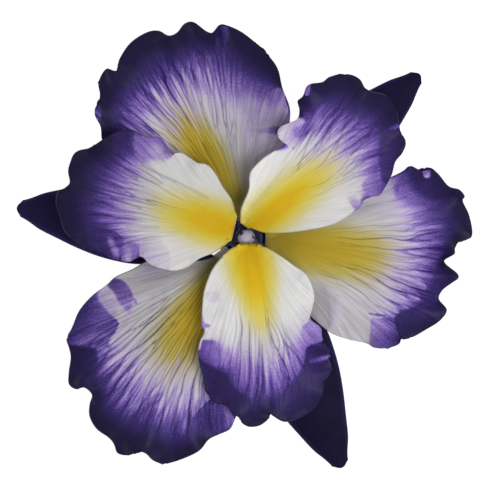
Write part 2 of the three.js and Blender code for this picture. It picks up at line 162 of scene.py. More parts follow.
# %% Back top petal
PETALS["petal_back_top"] = dict(
    whorl=BACK, claw=104, shoulders=[8, 24], throat=[[-6.5, 9.5], [1.5, 10.5]], dark_foot=0.08,
    claw_painted_light=1.4, spread=0.2, fan=110,
    gold=dict(at=[-11.5, 22.8], towards=124, half=[22, 6.4], widening=0.2, fade=0.85), light=[0.78, 1.12],
    deep=0.28, veined=dict(between=[-8, 30], starts=[5, 24]),
    dust=[
        [0, 0, 0], [2, 3, 8], [4, 6, 11], [5, 6.5, 14], [7, 7.5, 15], [8, 9, 16.2], [10, 9, 16.8],
        [12, 10.5, 19.5], [14, 10.5, 20.5], [16, 7.5, 19], [18, 8.5, 18.2], [20, 6, 15.5], [22, 9, 20],
        [23, 10.5, 21], [24, 10, 20.5], [25, 6, 16], [26, 0.8, 9], [27, 0.2, 6], [28, 0.2, 4], [29, 0, 1],
        [30, 0, 0],
    ],
    patches=[
        [[-1, 39, 4, 0.65], [4, 39, 4, 0.6], [9, 36, 3, 0.85], [9, 25, 3, 1], [3, 22, 4, 1],
         [-1, 30, 3, 0.9]],
        [[7.5, 42, 1.5, 0.3], [10.3, 42.5, 0.4, 0.2], [12, 37, 0.4, 0.55], [12.3, 33, 0.4, 0.75],
         [9.5, 33, 1.5, 0.85], [6.5, 36, 2, 0.75]],
        [[3, 30.9, 0.8, 0.85], [6, 31.6, 1, 0.5], [10, 31.9, 1, 0.1], [12.8, 31.5, 0.5, 0],
         [12.8, 29.7, 0.5, 0], [10, 29.6, 1, 0.15], [6, 30.1, 1, 0.55]],
        [[-8.6, 60, 0.6, -0.2], [-5.2, 60.5, 1, -0.12], [-5.4, 55, 1.5, -0.12], [-6.2, 50.5, 2, 0.05],
         [-9.2, 50.5, 2, 0.05], [-8.6, 56, 1, -0.15]],
        [[-43.5, 36, 0.4, 0.1], [-42, 37.8, 0.6, 0.1], [-41.2, 36.5, 0.8, -0.2], [-41.5, 34, 0.8, 0.05],
         [-42.8, 34, 0.4, 0.25]],
        [[-31.5, 33, 2, 0.35], [-28, 33.5, 3, 0.6], [-27, 28, 3, 0.7], [-31, 28, 1, 0.4]],
    ],
    painted_shading=[
        [[-8, 11, 2, 0.85], [0, 11, 2, 0.97], [4, 20, 4, 0.92], [-2, 28, 5, 0.94], [-11, 27, 5, 0.92],
         [-17, 24, 3, 0.84], [-13, 16, 2, 0.8]],
        [[-3, 44, 4, 0.9], [5, 42, 4, 0.85], [11, 36, 3, 0.85], [12, 28, 3, 0.85], [9, 20, 3, 0.85],
         [3, 18, 4, 0.9], [1, 30, 4, 0.88]],
        [[-6, 32, 3, 0.92], [-1, 32, 3, 0.88], [1, 25, 3, 0.84], [-1, 18, 3, 0.88], [-6, 20, 3, 0.92]],
        [[0.5, 21, 1, 1.15], [3, 24.5, 1, 1.2], [9, 27, 1, 1.2], [4, 20, 1, 1.2], [1.5, 14, 1, 1.15]],
        [[5, 32, 2, 1.08], [10, 33, 2, 1.1], [10, 24, 2, 1.15], [7, 19, 2, 1.12], [3.5, 22, 2, 1.1]],
    ],
    creases=[
        [-9.5, 57, -11, 50, 1.5, 0.7], [-4, 43, 5, 22, 3, -0.7], [0, 32.5, 8, 31, 1.4, 0.6],
        [-41, 37.5, -33, 38.5, 2, 0.7], [-38, 48, -30, 43.5, 2, -0.7], [-23.5, 57, -23, 50, 2, -0.6],
        [-18, 60, -19, 51, 2.5, 0.6], [-2, 55, -4, 45, 3, 0.5],
    ],
    rim=[
        [-11, 12, 0], [-18, 15, 0.2], [-27, 18.5, 0.4], [-35.5, 22.5, 0], [-40.5, 27.5, -0.4],
        [-41.3, 32.2, 0.8], [-43, 36, 1.2], [-41.5, 40.5, 0], [-42, 44.5, -0.8], [-40, 48, 0.4],
        [-37, 47.5, 1.6], [-36, 51, 1], [-33, 55.5, -0.4], [-28.5, 58.5, -1.1], [-25, 59, -0.4],
        [-22, 57.5, 1.2], [-19.5, 58.5, 0.8], [-17.5, 61, -0.5], [-15, 61.5, -1.1], [-11.5, 59, -0.8],
        [-9.5, 58.5, -1.2], [-7.5, 60.5, 1.6], [-5.5, 60.5, 1.5], [-1, 58.5, 0], [4.5, 54, -1],
        [8.5, 49, -0.4], [10, 43, 0.5], [12, 37.5, 0.8], [12, 32.5, 0], [11.5, 26.5, -0.3], [9.5, 19.5, 0],
        [6, 13, 0],
    ],
)

# %% [markdown]
# The right petal of the back whorl. Lobes of its rim are rolled over, above and below, and each has a
# tone of its own, with a clear border.

# %% Back right petal
PETALS["petal_back_right"] = dict(
    whorl=BACK, claw=0, shoulders=[5, 34], throat=[[7.5, 2.6], [7.2, -3.2]], dark_foot=0.4, claw_painted_light=1.3,
    spread=0.05, fan=355, gold=dict(at=[21, -3], towards=352, half=[24, 7.9], widening=0.15, fade=0.8),
    light=[0.96, 1.02], deep=0.1, veined=dict(between=[-14, 5], starts=[18, 35]),
    dust=[
        [3, 0, 0], [4, 0.2, 2.5], [5, 3.5, 7], [6, 5.5, 10], [8, 9, 16.5], [10, 8.5, 18.5], [12, 8, 18],
        [14, 7.5, 15.5], [16, 6, 14], [18, 3.5, 13], [21, 2, 12], [23, 6.5, 14.5], [25, 5, 14.5],
        [27, 3, 14], [28, 8, 17], [30, 7, 14], [32, 5.5, 8], [33, 3, 5], [34, 0.5, 2], [35, 0, 0],
    ],
    patches=[
        [[45.8, 19.3, 0.6, -0.2], [43.8, 17, 1.2, 0.05], [42.6, 14.5, 1.5, 0.25], [43.3, 12, 2, 0.35],
         [46, 10.3, 2.5, 0.35], [50, 9.5, 2, 0.1], [54, 8.7, 2, -0.05], [58, 9.5, 2, -0.4],
         [61, 13, 0.5, -0.6], [56, 19, 0.5, -0.8], [49, 20.8, 0.5, -0.7]],
        [[47.5, 20.2, 2, -0.5], [46.8, 17, 3, -0.3], [48.3, 14, 3.5, -0.25], [51, 12, 3, -0.3],
         [55, 11, 2, -0.5], [60, 13, 1, -0.7], [54, 20.5, 1, -0.8]],
        # A small pale speck on a frilled bit of the rim: a painted highlight
        [[50.8, 19, 0.4, 0.5], [52.6, 19.2, 0.4, 0.4], [52.4, 17.4, 0.4, 0.4], [51.2, 17.2, 0.4, 0.5]],
        [[25.5, -18.5, 2, 0.95], [28, -18, 2, 1.1], [26, -25, 2, 1.1], [23.5, -25.5, 2, 0.95]],
        [[42.5, -10.3, 2.5, 0.95], [48, -11, 1.5, 0.8], [50.5, -12.5, 0.8, 0.6], [51.6, -14, 0.5, 0.5],
         [50.5, -14.8, 0.8, 0.5], [47, -13.8, 2, 0.75], [43, -12.8, 2.5, 0.9]],
        [[46, -14.8, 1, 0.6], [48, -15, 0.9, 0.55], [49.6, -16.3, 0.6, 0.45], [49.2, -18.1, 0.6, 0.4],
         [47.3, -18.2, 0.6, 0.5], [46, -17, 1, 0.65]],
        [[42, -23.5, 0.5, -0.2], [44, -21, 1.2, -0.2], [47, -20, 1.2, -0.3], [50, -18.8, 1, -0.2],
         [51.4, -16.5, 0.8, -0.1], [52.8, -13.5, 1.2, -0.15], [54.5, -9.5, 2, -0.2], [57, -10, 1.5, -0.5],
         [62, -11, 0.5, -0.8], [58, -22, 0.5, -0.8], [50, -28, 0.5, -0.8], [45, -29.8, 0.5, -0.7],
         [43.5, -28.5, 0.4, -0.5], [42.6, -26, 0.4, -0.4]],
        [[35.8, -22.8, 0.8, 0.6], [38, -23, 0.8, 0.42], [40, -22.8, 0.6, 0.32], [42, -22.8, 0.5, 0.1],
         [42.8, -26, 0.6, 0], [43.8, -29.8, 0.5, -0.3], [40.5, -31.8, 0.5, -0.1], [37.5, -31.8, 0.5, 0.1],
         [35.7, -30.5, 0.5, 0.35], [35.7, -26, 0.5, 0.6]],
        # A thin grey-violet line along the upper edge of the rolled flap: a painted shadow
        [[35, -21.2, 0.4, 0.5], [37, -21.6, 0.3, 0.35], [39.5, -21.9, 0.4, 0.3], [40, -22.6, 0.4, 0.35],
         [37, -22.4, 0.3, 0.3], [35.2, -21.9, 0.4, 0.45]],
    ],
    painted_shading=[
        [[18, -13, 2, 0.85], [22, -13.5, 2, 0.85], [24, -17, 2, 0.76], [24.5, -22, 1.5, 0.72],
         [24, -26, 1, 0.8], [20, -24, 0.5, 0.68], [17, -19, 0.5, 0.68]],
    ],
    creases=[
        [21, -15, 24, -23, 2.6, -0.7], [26.5, -18, 25, -25, 1.4, 0.5], [37, -24, 39.5, -30, 3, 0.6],
        [45, -11, 49, -14, 1.3, 0.6], [43.5, -16, 47.5, -19, 1.4, 0.6], [42.5, -14, 46.5, -16.5, 1.3, -0.4],
        [42.5, 18, 44.5, 12, 1.3, 0.5], [52, 19, 50, 11, 1.5, 0.5], [30, 13, 40, 9, 3, -0.5],
    ],
    rim=[
        [12.5, 7.5, 0], [22.5, 12, 0.3], [31.5, 15, 0.4], [40.5, 17, 0.8], [45, 19, 1], [47, 20.5, 0.3],
        [49.5, 19.5, -0.3], [52.5, 20, 0.6], [54.8, 18.3, 0], [57.8, 14.8, -0.8], [60.8, 13.8, 0.2],
        [62.3, 11.9, 1.4], [61.8, 10.5, 0.6], [63.5, 7, -0.8], [64.5, 3, -1.2], [64.5, 0.5, -0.7],
        [63.2, -0.4, 0.2], [60.8, -1, 1.4], [59.5, -3, 1.7], [59.5, -4.5, 0.8], [58, -5.5, 0],
        [56.5, -6.5, -1.3], [57.5, -8, -0.5], [60, -10, 0.8], [60.5, -11.5, 1], [58.5, -13, 0.4],
        [56, -15, -1], [55, -17.5, -1.3], [57.2, -20.6, 0.3], [55.2, -23.7, 0], [51.2, -26.3, -0.8],
        [47.6, -28.3, -1], [44.6, -28.8, -1], [43.6, -30.3, 1.4], [40.5, -31.4, 1.7], [37, -31.3, 1],
        [34.5, -30, -0.8], [30, -29, -0.8], [25.5, -27.5, 0], [22.5, -25.5, 0.4], [18.5, -22, 0.4],
        [13.5, -17, 0], [9.5, -9.5, 0],
    ],
)

# %% [markdown]
# The lower left petal of the back whorl. A fold near its top corner carries a violet band between two
# pale ones.

# %% Back lower left petal
PETALS["petal_back_lower_left"] = dict(
    whorl=BACK, claw=222, shoulders=[11, 29], throat=[[-4.4, -9.2], [-9.2, -5.4]], dark_foot=0.2,
    claw_painted_light=2.2, claw_pale=1.5, spread=0.16, fan=230,
    gold=dict(at=[-14.2, -21.8], towards=240, half=[19, 7.4], widening=0.3, fade=0.75), light=[0.9, 1.03],
    deep=0.28, veined=dict(between=[-11, 18], starts=[3, 18]),
    dust=[
        [0, 0, 0], [1, 0, 3], [3, 0.5, 7], [5, 2.5, 9.5], [6, 3.5, 11], [8, 6, 17], [10, 8.5, 20.8],
        [12, 9.5, 21], [14, 9.5, 20], [16, 11, 21.5], [18, 9, 18.3], [20, 6.5, 17.2], [22, 4.5, 16],
        [24, 7, 16.5], [26, 7.5, 16.5], [27, 6, 15], [28, 3, 13], [29, 0.5, 8], [32, 0.3, 1], [33, 0, 0],
    ],
    patches=[
        [[-42.6, -16, 2.5, 0.15], [-40.8, -18.5, 3, 0.25], [-38.6, -21.3, 2.2, 0.25],
         [-36.9, -23.2, 1, 0.12], [-36.3, -24.8, 0.6, 0.08], [-37.4, -27, 0.8, 0.15], [-39, -29, 0.8, 0.12],
         [-39.5, -31.2, 0.8, 0.1], [-42.5, -30.8, 1, 0.2], [-46, -30.5, 0.35, 0.12], [-51, -30.2, 0.3, 0],
         [-52, -27, 1, -0.35], [-49.5, -22, 1, -0.5], [-46, -17.5, 1, -0.5]],
        [[-42, -15.3, 0.8, 0.75], [-39.5, -14, 1.5, 0.95], [-38, -16.5, 1.8, 1], [-36.5, -19.5, 1.6, 0.85],
         [-37, -22, 0.8, 0.8], [-38.6, -21.3, 0.8, 0.8], [-40.8, -18.3, 1.2, 0.7]],
        [[-39.9, -12.9, 1.2, 0.2], [-37.2, -11.2, 1, 0.22], [-34, -12.6, 1.8, 0.22],
         [-31.8, -16.8, 1.8, 0.28], [-33, -21.5, 3, 0.5], [-36, -20, 2.5, 0.4], [-37.9, -15.8, 1.8, 0.28]],
        [[-32.3, -17.2, 0.9, 0.35], [-31.2, -17.4, 0.6, 0.3], [-31, -18.8, 0.6, 0.3],
         [-32, -18.6, 0.9, 0.35]],
        [[-52, -31, 0.3, -0.7], [-46, -31.2, 0.4, -0.6], [-43.3, -31.6, 1, -0.3],
         [-42.6, -34.5, 1.5, -0.25], [-43.3, -39, 2, -0.3], [-45, -44, 2, -0.5], [-52, -44, 1, -0.8],
         [-53, -37, 1, -0.8]],
        [[-14.5, -50.5, 1.2, 0], [-12, -47.8, 0.4, -0.1], [-10, -46.2, 0.4, -0.05],
         [-7.5, -46.6, 0.6, 0.15], [-5.8, -47.5, 0.6, 0.3], [-4.2, -50, 0.6, 0.3], [-3, -52.2, 0.6, 0.3],
         [-5, -54.8, 1, -0.1], [-9, -57, 2, -0.3], [-13, -56, 3, -0.3], [-15, -53, 3, -0.15]],
        [[-11, -48.5, 2, -0.05], [-7.5, -48, 1.5, 0], [-5.8, -50.3, 1.5, 0.05], [-6, -53, 1.5, -0.05],
         [-9, -54.5, 2, -0.2], [-12, -52, 2, -0.1]],
        # Near-black along the front left petal's lower edge: a painted shadow on this petal
        [[-17.5, -6.5, 0.4, -0.9], [-14.6, -5, 0.4, -0.9], [-9, -2.8, 0.4, -0.9], [-8.5, -4.6, 0.4, -0.8],
         [-11.3, -6.1, 0.4, -0.8], [-14.6, -6.7, 0.4, -0.8]],
        [[-33, -10.8, 2, 0.85], [-26, -7.3, 2, 0.95], [-21, -7, 3, 1.15], [-26, -12, 4, 1.15]],
    ],
    painted_shading=[
        [[-39.5, -13, 2, 0.8], [-34, -9, 1, 0.78], [-28, -7, 1, 0.76], [-18, -5, 2, 0.78],
         [-18, -9, 3, 0.85], [-28, -15, 4, 0.85], [-34, -17, 3, 0.82]],
        [[-38, -18, 4, 0.92], [-33, -12, 3, 0.9], [-24, -10, 3, 0.9], [-22, -18, 3, 0.93],
         [-22, -28, 4, 0.93], [-28, -36, 4, 0.93], [-38, -30, 4, 0.93]],
    ],
    creases=[
        [-41.5, -15, -36.5, -21.5, 1.2, 0.6], [-39, -14, -34, -20, 1.6, -0.4],
        [-48.5, -33, -42, -33.5, 1.8, -0.4], [-48.5, -28, -42, -28, 1.8, 0.4],
        [-13, -48.5, -5, -50, 1.8, 0.7], [-13, -45.5, -6, -46, 1.3, -0.5], [-37.5, -58, -32, -52, 2, -0.6],
        [-28.5, -61, -27, -53, 2, 0.7], [-45, -44, -38, -41, 2, 0.6], [-50, -36, -43, -37, 2, -0.6],
        [-20, -62, -21, -54, 2.5, -0.5],
    ],
    rim=[
        [0, -18, 0], [-0.5, -30.5, 0], [-1, -42, 0.2], [-2, -47.5, 0.7], [-3.5, -51.5, 0.9],
        [-5, -54.5, 0.2], [-8, -56, -0.5], [-11, -57.5, -0.3], [-13.5, -60.5, 0.6], [-17, -62.5, 0],
        [-21, -64, -0.8], [-24, -64.5, -1], [-26.5, -63.5, -0.2], [-28.5, -61.5, 1], [-31, -61, 1.2],
        [-34, -62, 0], [-36.5, -61.5, -0.8], [-37.5, -59, -0.4], [-39, -57, 0.3], [-42.5, -54.5, -0.5],
        [-44.5, -51, -1], [-44.5, -47.5, 0], [-43.8, -44.6, 1.1], [-46, -42.5, 1.3], [-48.5, -43, 0.2],
        [-50.5, -41.5, -0.8], [-50.5, -38, -0.7], [-50, -34, 0], [-50.5, -31, 1], [-51, -29, 1.3],
        [-49.5, -25.5, 0.7], [-47.5, -21, 0], [-44, -17, -0.8], [-40, -14, -0.4], [-37, -11.4, 1.3],
        [-32.5, -9.4, 0.7], [-28, -7, 0], [-21, -5.2, 0], [-15, -4.6, 0],
    ],
)

# %% [markdown]
# The left petal of the front whorl. Little flutes stand on its lower rim, and its upper rim is white
# towards the throat.

# %% Front left petal
PETALS["petal_front_left"] = dict(
    whorl=FRONT, claw=143, shoulders=[12, 22], throat=[[-5, -0.8], [-3.2, 6.9]], dark_foot=0.9, spread=0.08,
    fan=170, gold=dict(at=[-9.3, 4.3], towards=164, half=[17.6, 7], widening=-0.05, fade=0.7),
    light=[0.88, 0.93], deep=0, veined=dict(between=[-13, 9], starts=[18, 40]),
    dust=[
        [4, 0, 0], [5, 0, 3.5], [8, 0.5, 5], [9, 1, 6.5], [11, 3.5, 12], [12, 6.5, 16], [14, 10, 19],
        [16, 11, 21.5], [18, 10.5, 21.5], [20, 9, 20], [22, 9, 18.5], [24, 8, 13], [26, 6, 8.5],
        [27, 3, 6.5], [28, 1, 4.5], [29, 0.3, 3], [31, 0, 1], [32, 0, 0],
    ],
    patches=[
        [[-38, 31, 0.5, -0.6], [-31.4, 30.4, 0.4, -0.2], [-31.1, 27, 0.5, -0.1], [-31.5, 24.6, 0.8, 0],
         [-34, 23.5, 1.5, 0], [-37.5, 24.5, 1.5, -0.4]],
        [[-31.5, 29.8, 2, 0.2], [-28, 28.9, 1.2, 0.3], [-25, 28.8, 1, 0.3], [-22.5, 26.7, 0.6, 0.35],
         [-20.8, 23.8, 0.8, 0.45], [-23, 21.8, 2, 0.85], [-26, 22, 2.5, 0.75], [-29.5, 21.5, 3, 0.5],
         [-31.8, 25, 2, 0.3]],
        [[-27.5, 26.5, 2.5, 0.55], [-25.5, 27, 2, 0.6], [-23.6, 25.5, 1.5, 0.75], [-24.5, 23.8, 2, 0.85],
         [-27.5, 24, 2.5, 0.6]],
        [[-20.5, 23.8, 0.4, 2], [-16, 24.5, 1, 2], [-13, 22.5, 1, 2], [-9, 19.5, 1, 2], [-9, 15, 2, 2],
         [-15, 16.5, 2, 2], [-20.5, 20, 1.5, 1.4]],
        [[-45, 3, 1.5, -0.4], [-41, 3, 1, -0.2], [-38, 2.2, 0.8, -0.1], [-35.8, 0.8, 0.8, 0],
         [-34.8, -1.2, 0.8, 0.15], [-35.5, -3.5, 0.6, 0.25], [-36.8, -6.8, 0.5, 0.1], [-40, -6, 0.5, -0.5],
         [-45, -4, 1, -0.6]],
        [[-39.4, -0.2, 1.2, 0.3], [-38, 0, 1.2, 0.55], [-36.8, -2.5, 1.2, 0.7], [-36.4, -5, 1, 0.45],
         [-37.6, -4.8, 1.2, 0.4], [-38.6, -2.4, 1.2, 0.5]],
        [[-34.8, -0.5, 1, 0.4], [-33, -1, 1.2, 0.6], [-31.2, -2, 0.8, 0.45], [-30.6, -4.5, 0.6, 0.3],
         [-32.5, -7, 0.5, 0.2], [-35.5, -6.8, 0.5, 0.2], [-35.3, -3.5, 0.8, 0.2]],
        [[-34.5, -2, 1.2, 0.5], [-33.2, -2, 1.2, 0.7], [-32.7, -4.5, 1.2, 0.85], [-33, -6.6, 1, 0.7],
         [-34.4, -6.2, 1, 0.6], [-34.7, -4, 1.2, 0.5]],
        [[-30, -0.8, 1.5, 0.85], [-27, 0.5, 2, 1.2], [-22, -3, 1.5, 1.3], [-22, -9.5, 0.4, 1.1],
         [-28, -8.3, 0.4, 0.85], [-30, -6.2, 0.5, 0.7]],
    ],
    painted_shading=[
        [[-35, 14, 4, 0.95], [-27, 18, 4, 0.9], [-24, 10, 4, 0.95], [-26, 0, 4, 0.95], [-34, 2, 4, 0.97]],
    ],
    creases=[
        [-30, 20.5, -12, 9.5, 1.3, -0.6], [-19, 21.5, -10, 17, 2.5, 0.6], [-29, 26, -22, 23.5, 2, 0.6],
        [-38.5, -5, -36, -1, 1.1, 0.7], [-36.4, -4.5, -34.8, -1.5, 1.2, -0.5],
        [-34.5, -6, -32.5, -2, 1, 0.7], [-31, -6, -29.5, -2, 1.3, -0.5], [-45, 24, -40, 18, 2.5, -0.6],
        [-28, -6.5, -24, -3, 1.6, 0.5],
    ],
    marks=[
        [-29.5, 20.6, -20, 16.2, 0.32, 0.33], [-20, 16.2, -11, 11.5, 0.4, 0.2],
        [-31.5, 21, -24, 15.5, 0.35, 0.3], [-38.5, 11.5, -30, 8.5, 0.4, 0.35],
        [-34.5, 19.5, -31, 17, 0.35, 0.3], [-34, 3.2, -25, 3, 0.3, 0.25],
    ],
    rim=[
        [-8.7, -3.5, 0.1], [-13.3, -5.5, 0.5], [-16.8, -8, -0.3], [-20.5, -9, -0.5], [-24, -8.5, 0],
        [-27.5, -7.2, 0.6], [-29.5, -5.2, 1.3], [-31.2, -5.3, 0.7], [-33.5, -6.5, -0.5], [-36.5, -6, 0.6],
        [-39.5, -5, -0.3], [-42.5, -3.5, -0.8], [-46.5, -2.5, -0.3], [-49, -0.5, 0.6], [-51.5, 2, 0.3],
        [-53, 6.5, -0.5], [-54, 10, -0.3], [-53.5, 13, 0.5], [-51.2, 14.5, 1], [-50, 16, 0.8],
        [-50.5, 19, 0.1], [-50, 21.5, -0.5], [-48.5, 24.5, -0.8], [-44.7, 25.6, -0.5], [-40.8, 28, 0.4],
        [-37, 30, 0], [-33, 30.5, 0.5], [-30.5, 29.5, 1.1], [-28, 28.5, 0.6], [-25, 28.5, 0],
        [-23, 26.5, -0.3], [-21.5, 24, 0.8], [-18.5, 24, 0.4], [-16.1, 22.6, -0.2], [-13.8, 21.1, 0.7],
        [-11.2, 20.6, 0.4], [-8.9, 18.1, 0], [-6.9, 14.4, 0.2], [-4.4, 10.7, 0],
    ],
)

# %% [markdown]
# The upper right petal of the front whorl. A lobe is turned up beside the top petal, and the rim that
# lies over the right petal is folded.

# %% Front upper right petal
PETALS["petal_front_upper_right"] = dict(
    whorl=FRONT, claw=95, shoulders=[19, 25], throat=[[-1.4, 5.2], [1.2, 3.2]], dark_foot=0.9, spread=0,
    fan=40, gold=dict(at=[8.7, 8.3], towards=40, half=[22, 5.9], widening=-0.05, fade=0.55),
    light=[0.9, 1.08], deep=0, veined=dict(between=[-8, 10], starts=[22, 44]),
    dust=[
        [5, 0, 0], [7, 0.2, 2], [10, 0.3, 3], [11, 0.7, 5.5], [12, 2, 9], [13, 4.5, 12], [15, 6.5, 14.8],
        [17, 7.5, 17], [19, 8.5, 19.3], [21, 9, 20.8], [23, 9, 20.3], [25, 8, 18.3], [27, 6, 16],
        [29, 6, 13.5], [30, 4, 10.5], [31, 2.5, 8], [32, 2.5, 6], [33, 1.5, 5], [34, 0, 3], [35, 0, 1],
        [37, 0, 0],
    ],
    patches=[
        [[8.9, 30, 0.5, 0.85], [10, 32.7, 0.4, 0.85], [12.5, 33.2, 0.4, 0.9], [15, 34.2, 0.8, 0.75],
         [17, 33, 1.2, 0.7], [16, 31.3, 0.8, 0.6], [13.5, 30, 0.8, 0.65], [14.5, 28, 0.8, 0.8],
         [13, 26, 0.8, 1], [11.2, 27, 0.4, 1], [9.6, 28.2, 0.4, 0.9]],
        [[13.3, 31, 1, 0.45], [16, 32.4, 1, 0.3], [18.5, 33.6, 1.2, 0.15], [21, 34.5, 1.5, 0.3],
         [21.3, 32.8, 1, 0.5], [18.5, 30.2, 0.8, 0.42], [16, 28.8, 0.8, 0.5], [14, 28.6, 0.8, 0.65]],
        [[38.7, 31, 2, -0.3], [38.2, 27, 1.8, -0.25], [38.2, 23.5, 1.4, -0.15], [37.6, 21, 1.6, -0.05],
         [38.6, 17.5, 1.2, -0.05], [40.3, 14.5, 0.5, -0.3], [44, 20, 0.5, -0.7], [47, 27, 0.5, -0.8],
         [44.5, 33, 1, -0.7], [40, 34, 2, -0.5]],
        [[33, 15.2, 0.5, 0.6], [34, 16.5, 0.8, 0.5], [36, 17.5, 1.5, 0.35], [38.3, 17.5, 1.5, 0.05],
         [40, 14.5, 0.5, -0.15], [38.8, 12.3, 0.4, -0.05], [36.5, 11.4, 0.4, 0.3], [34.8, 12.2, 0.4, 0.45],
         [33.5, 13.8, 0.4, 0.55]],
        [[35.5, 21, 2, 0.35], [37.6, 21.5, 0.8, 0.1], [38.4, 18, 0.8, 0.05], [37, 16, 1.5, 0.2],
         [35.5, 17.5, 2, 0.4]],
        [[29, 11.7, 1.5, 0.95], [31, 12.2, 1.5, 0.95], [32.5, 10.3, 0.8, 0.7], [33.6, 8.8, 0.5, 0.5],
         [32, 7.8, 0.5, 0.42], [30, 9.2, 1, 0.65]],
        [[40.5, 31.2, 0.6, 0], [43.5, 32.5, 0.4, 0.3], [44.5, 31.8, 0.4, 0.3], [41.5, 30.7, 0.5, -0.1]],
        [[16.7, 44.3, 0.4, 0.1], [18.2, 44.4, 0.4, 0.1], [18, 41, 0.4, 0.2], [16.8, 41, 0.4, 0.3]],
    ],
    creases=[
        [10, 30.5, 16, 33, 1.4, 0.6], [13, 28.5, 19.5, 32, 1.4, -0.4], [38.5, 28, 38, 15, 1.8, -0.6],
        [40, 31.8, 43, 32, 1.4, 0.4], [34, 15, 39, 13.5, 1.8, 0.6], [17, 43, 19, 37, 1.5, 0.6],
        [30, 46, 29, 38, 2.5, -0.5], [34, 42, 31, 36, 2, 0.6], [30, 12.5, 33, 8.5, 1.5, 0.5],
    ],
    painted_shading=[
        [[-1.5, 7, 0.5, 1.1], [1, 15, 0.5, 1.12], [4, 22, 0.5, 1.12], [11.5, 27.5, 1, 1.1],
         [14, 24, 4, 1.08], [8, 18, 4, 1.08], [3, 11, 3, 1.08]],
    ],
    marks=[
        [19.7, 32, 14.6, 19.4, 0.3, 0.3], [28.3, 32.6, 25.4, 24.6, 0.4, 0.35],
        [35.7, 29.7, 30, 24, 0.4, 0.3], [33.7, 21.7, 27.7, 17.7, 0.35, 0.35],
        [25.4, 36.6, 23.7, 28, 0.3, 0.2],
    ],
    rim=[
        [-1, 8.5, 0], [1, 13.5, 0.2], [1.2, 17.5, 0.3], [2, 19.5, 0.5], [5, 22.5, 0], [8, 24.5, 0.2],
        [11.2, 26.4, 0.8], [9.6, 28.2, 1.3], [9.2, 30.2, 1.5], [10.4, 31.8, 1], [12.8, 32.8, 0.6],
        [15, 34, 0], [15.5, 36.5, -0.4], [15, 39, 0], [16.5, 40.5, 0.7], [17.5, 43, 1.6], [19, 44, 1.6],
        [22, 44.5, 0.6], [24, 46, -0.4], [26.5, 46.5, -0.8], [30, 46.5, -0.3], [32.5, 45, 0.3],
        [34, 42.5, 1.1], [36.5, 41.5, 0.6], [40, 40.5, -0.3], [42.5, 37.5, -0.6], [43.5, 33.5, 0],
        [44, 30.5, 1.1], [45.5, 27.5, -0.3], [44.5, 24.5, -0.8], [42.5, 22, -0.2], [41.5, 18.5, 0.6],
        [40, 15.5, 0], [38, 12.5, -0.3], [36, 12, 0.7], [33.5, 11, 1.1], [32.5, 9, 0.4], [29, 6.5, 0],
        [24.5, 4, -0.3], [17.5, 2.5, 0], [11, 1.8, 0], [5.4, 1.8, 0],
    ],
)

# %% [markdown]
# The bottom petal of the front whorl, the smallest. It is white right to its rim for the upper half of
# its length, and dark below.

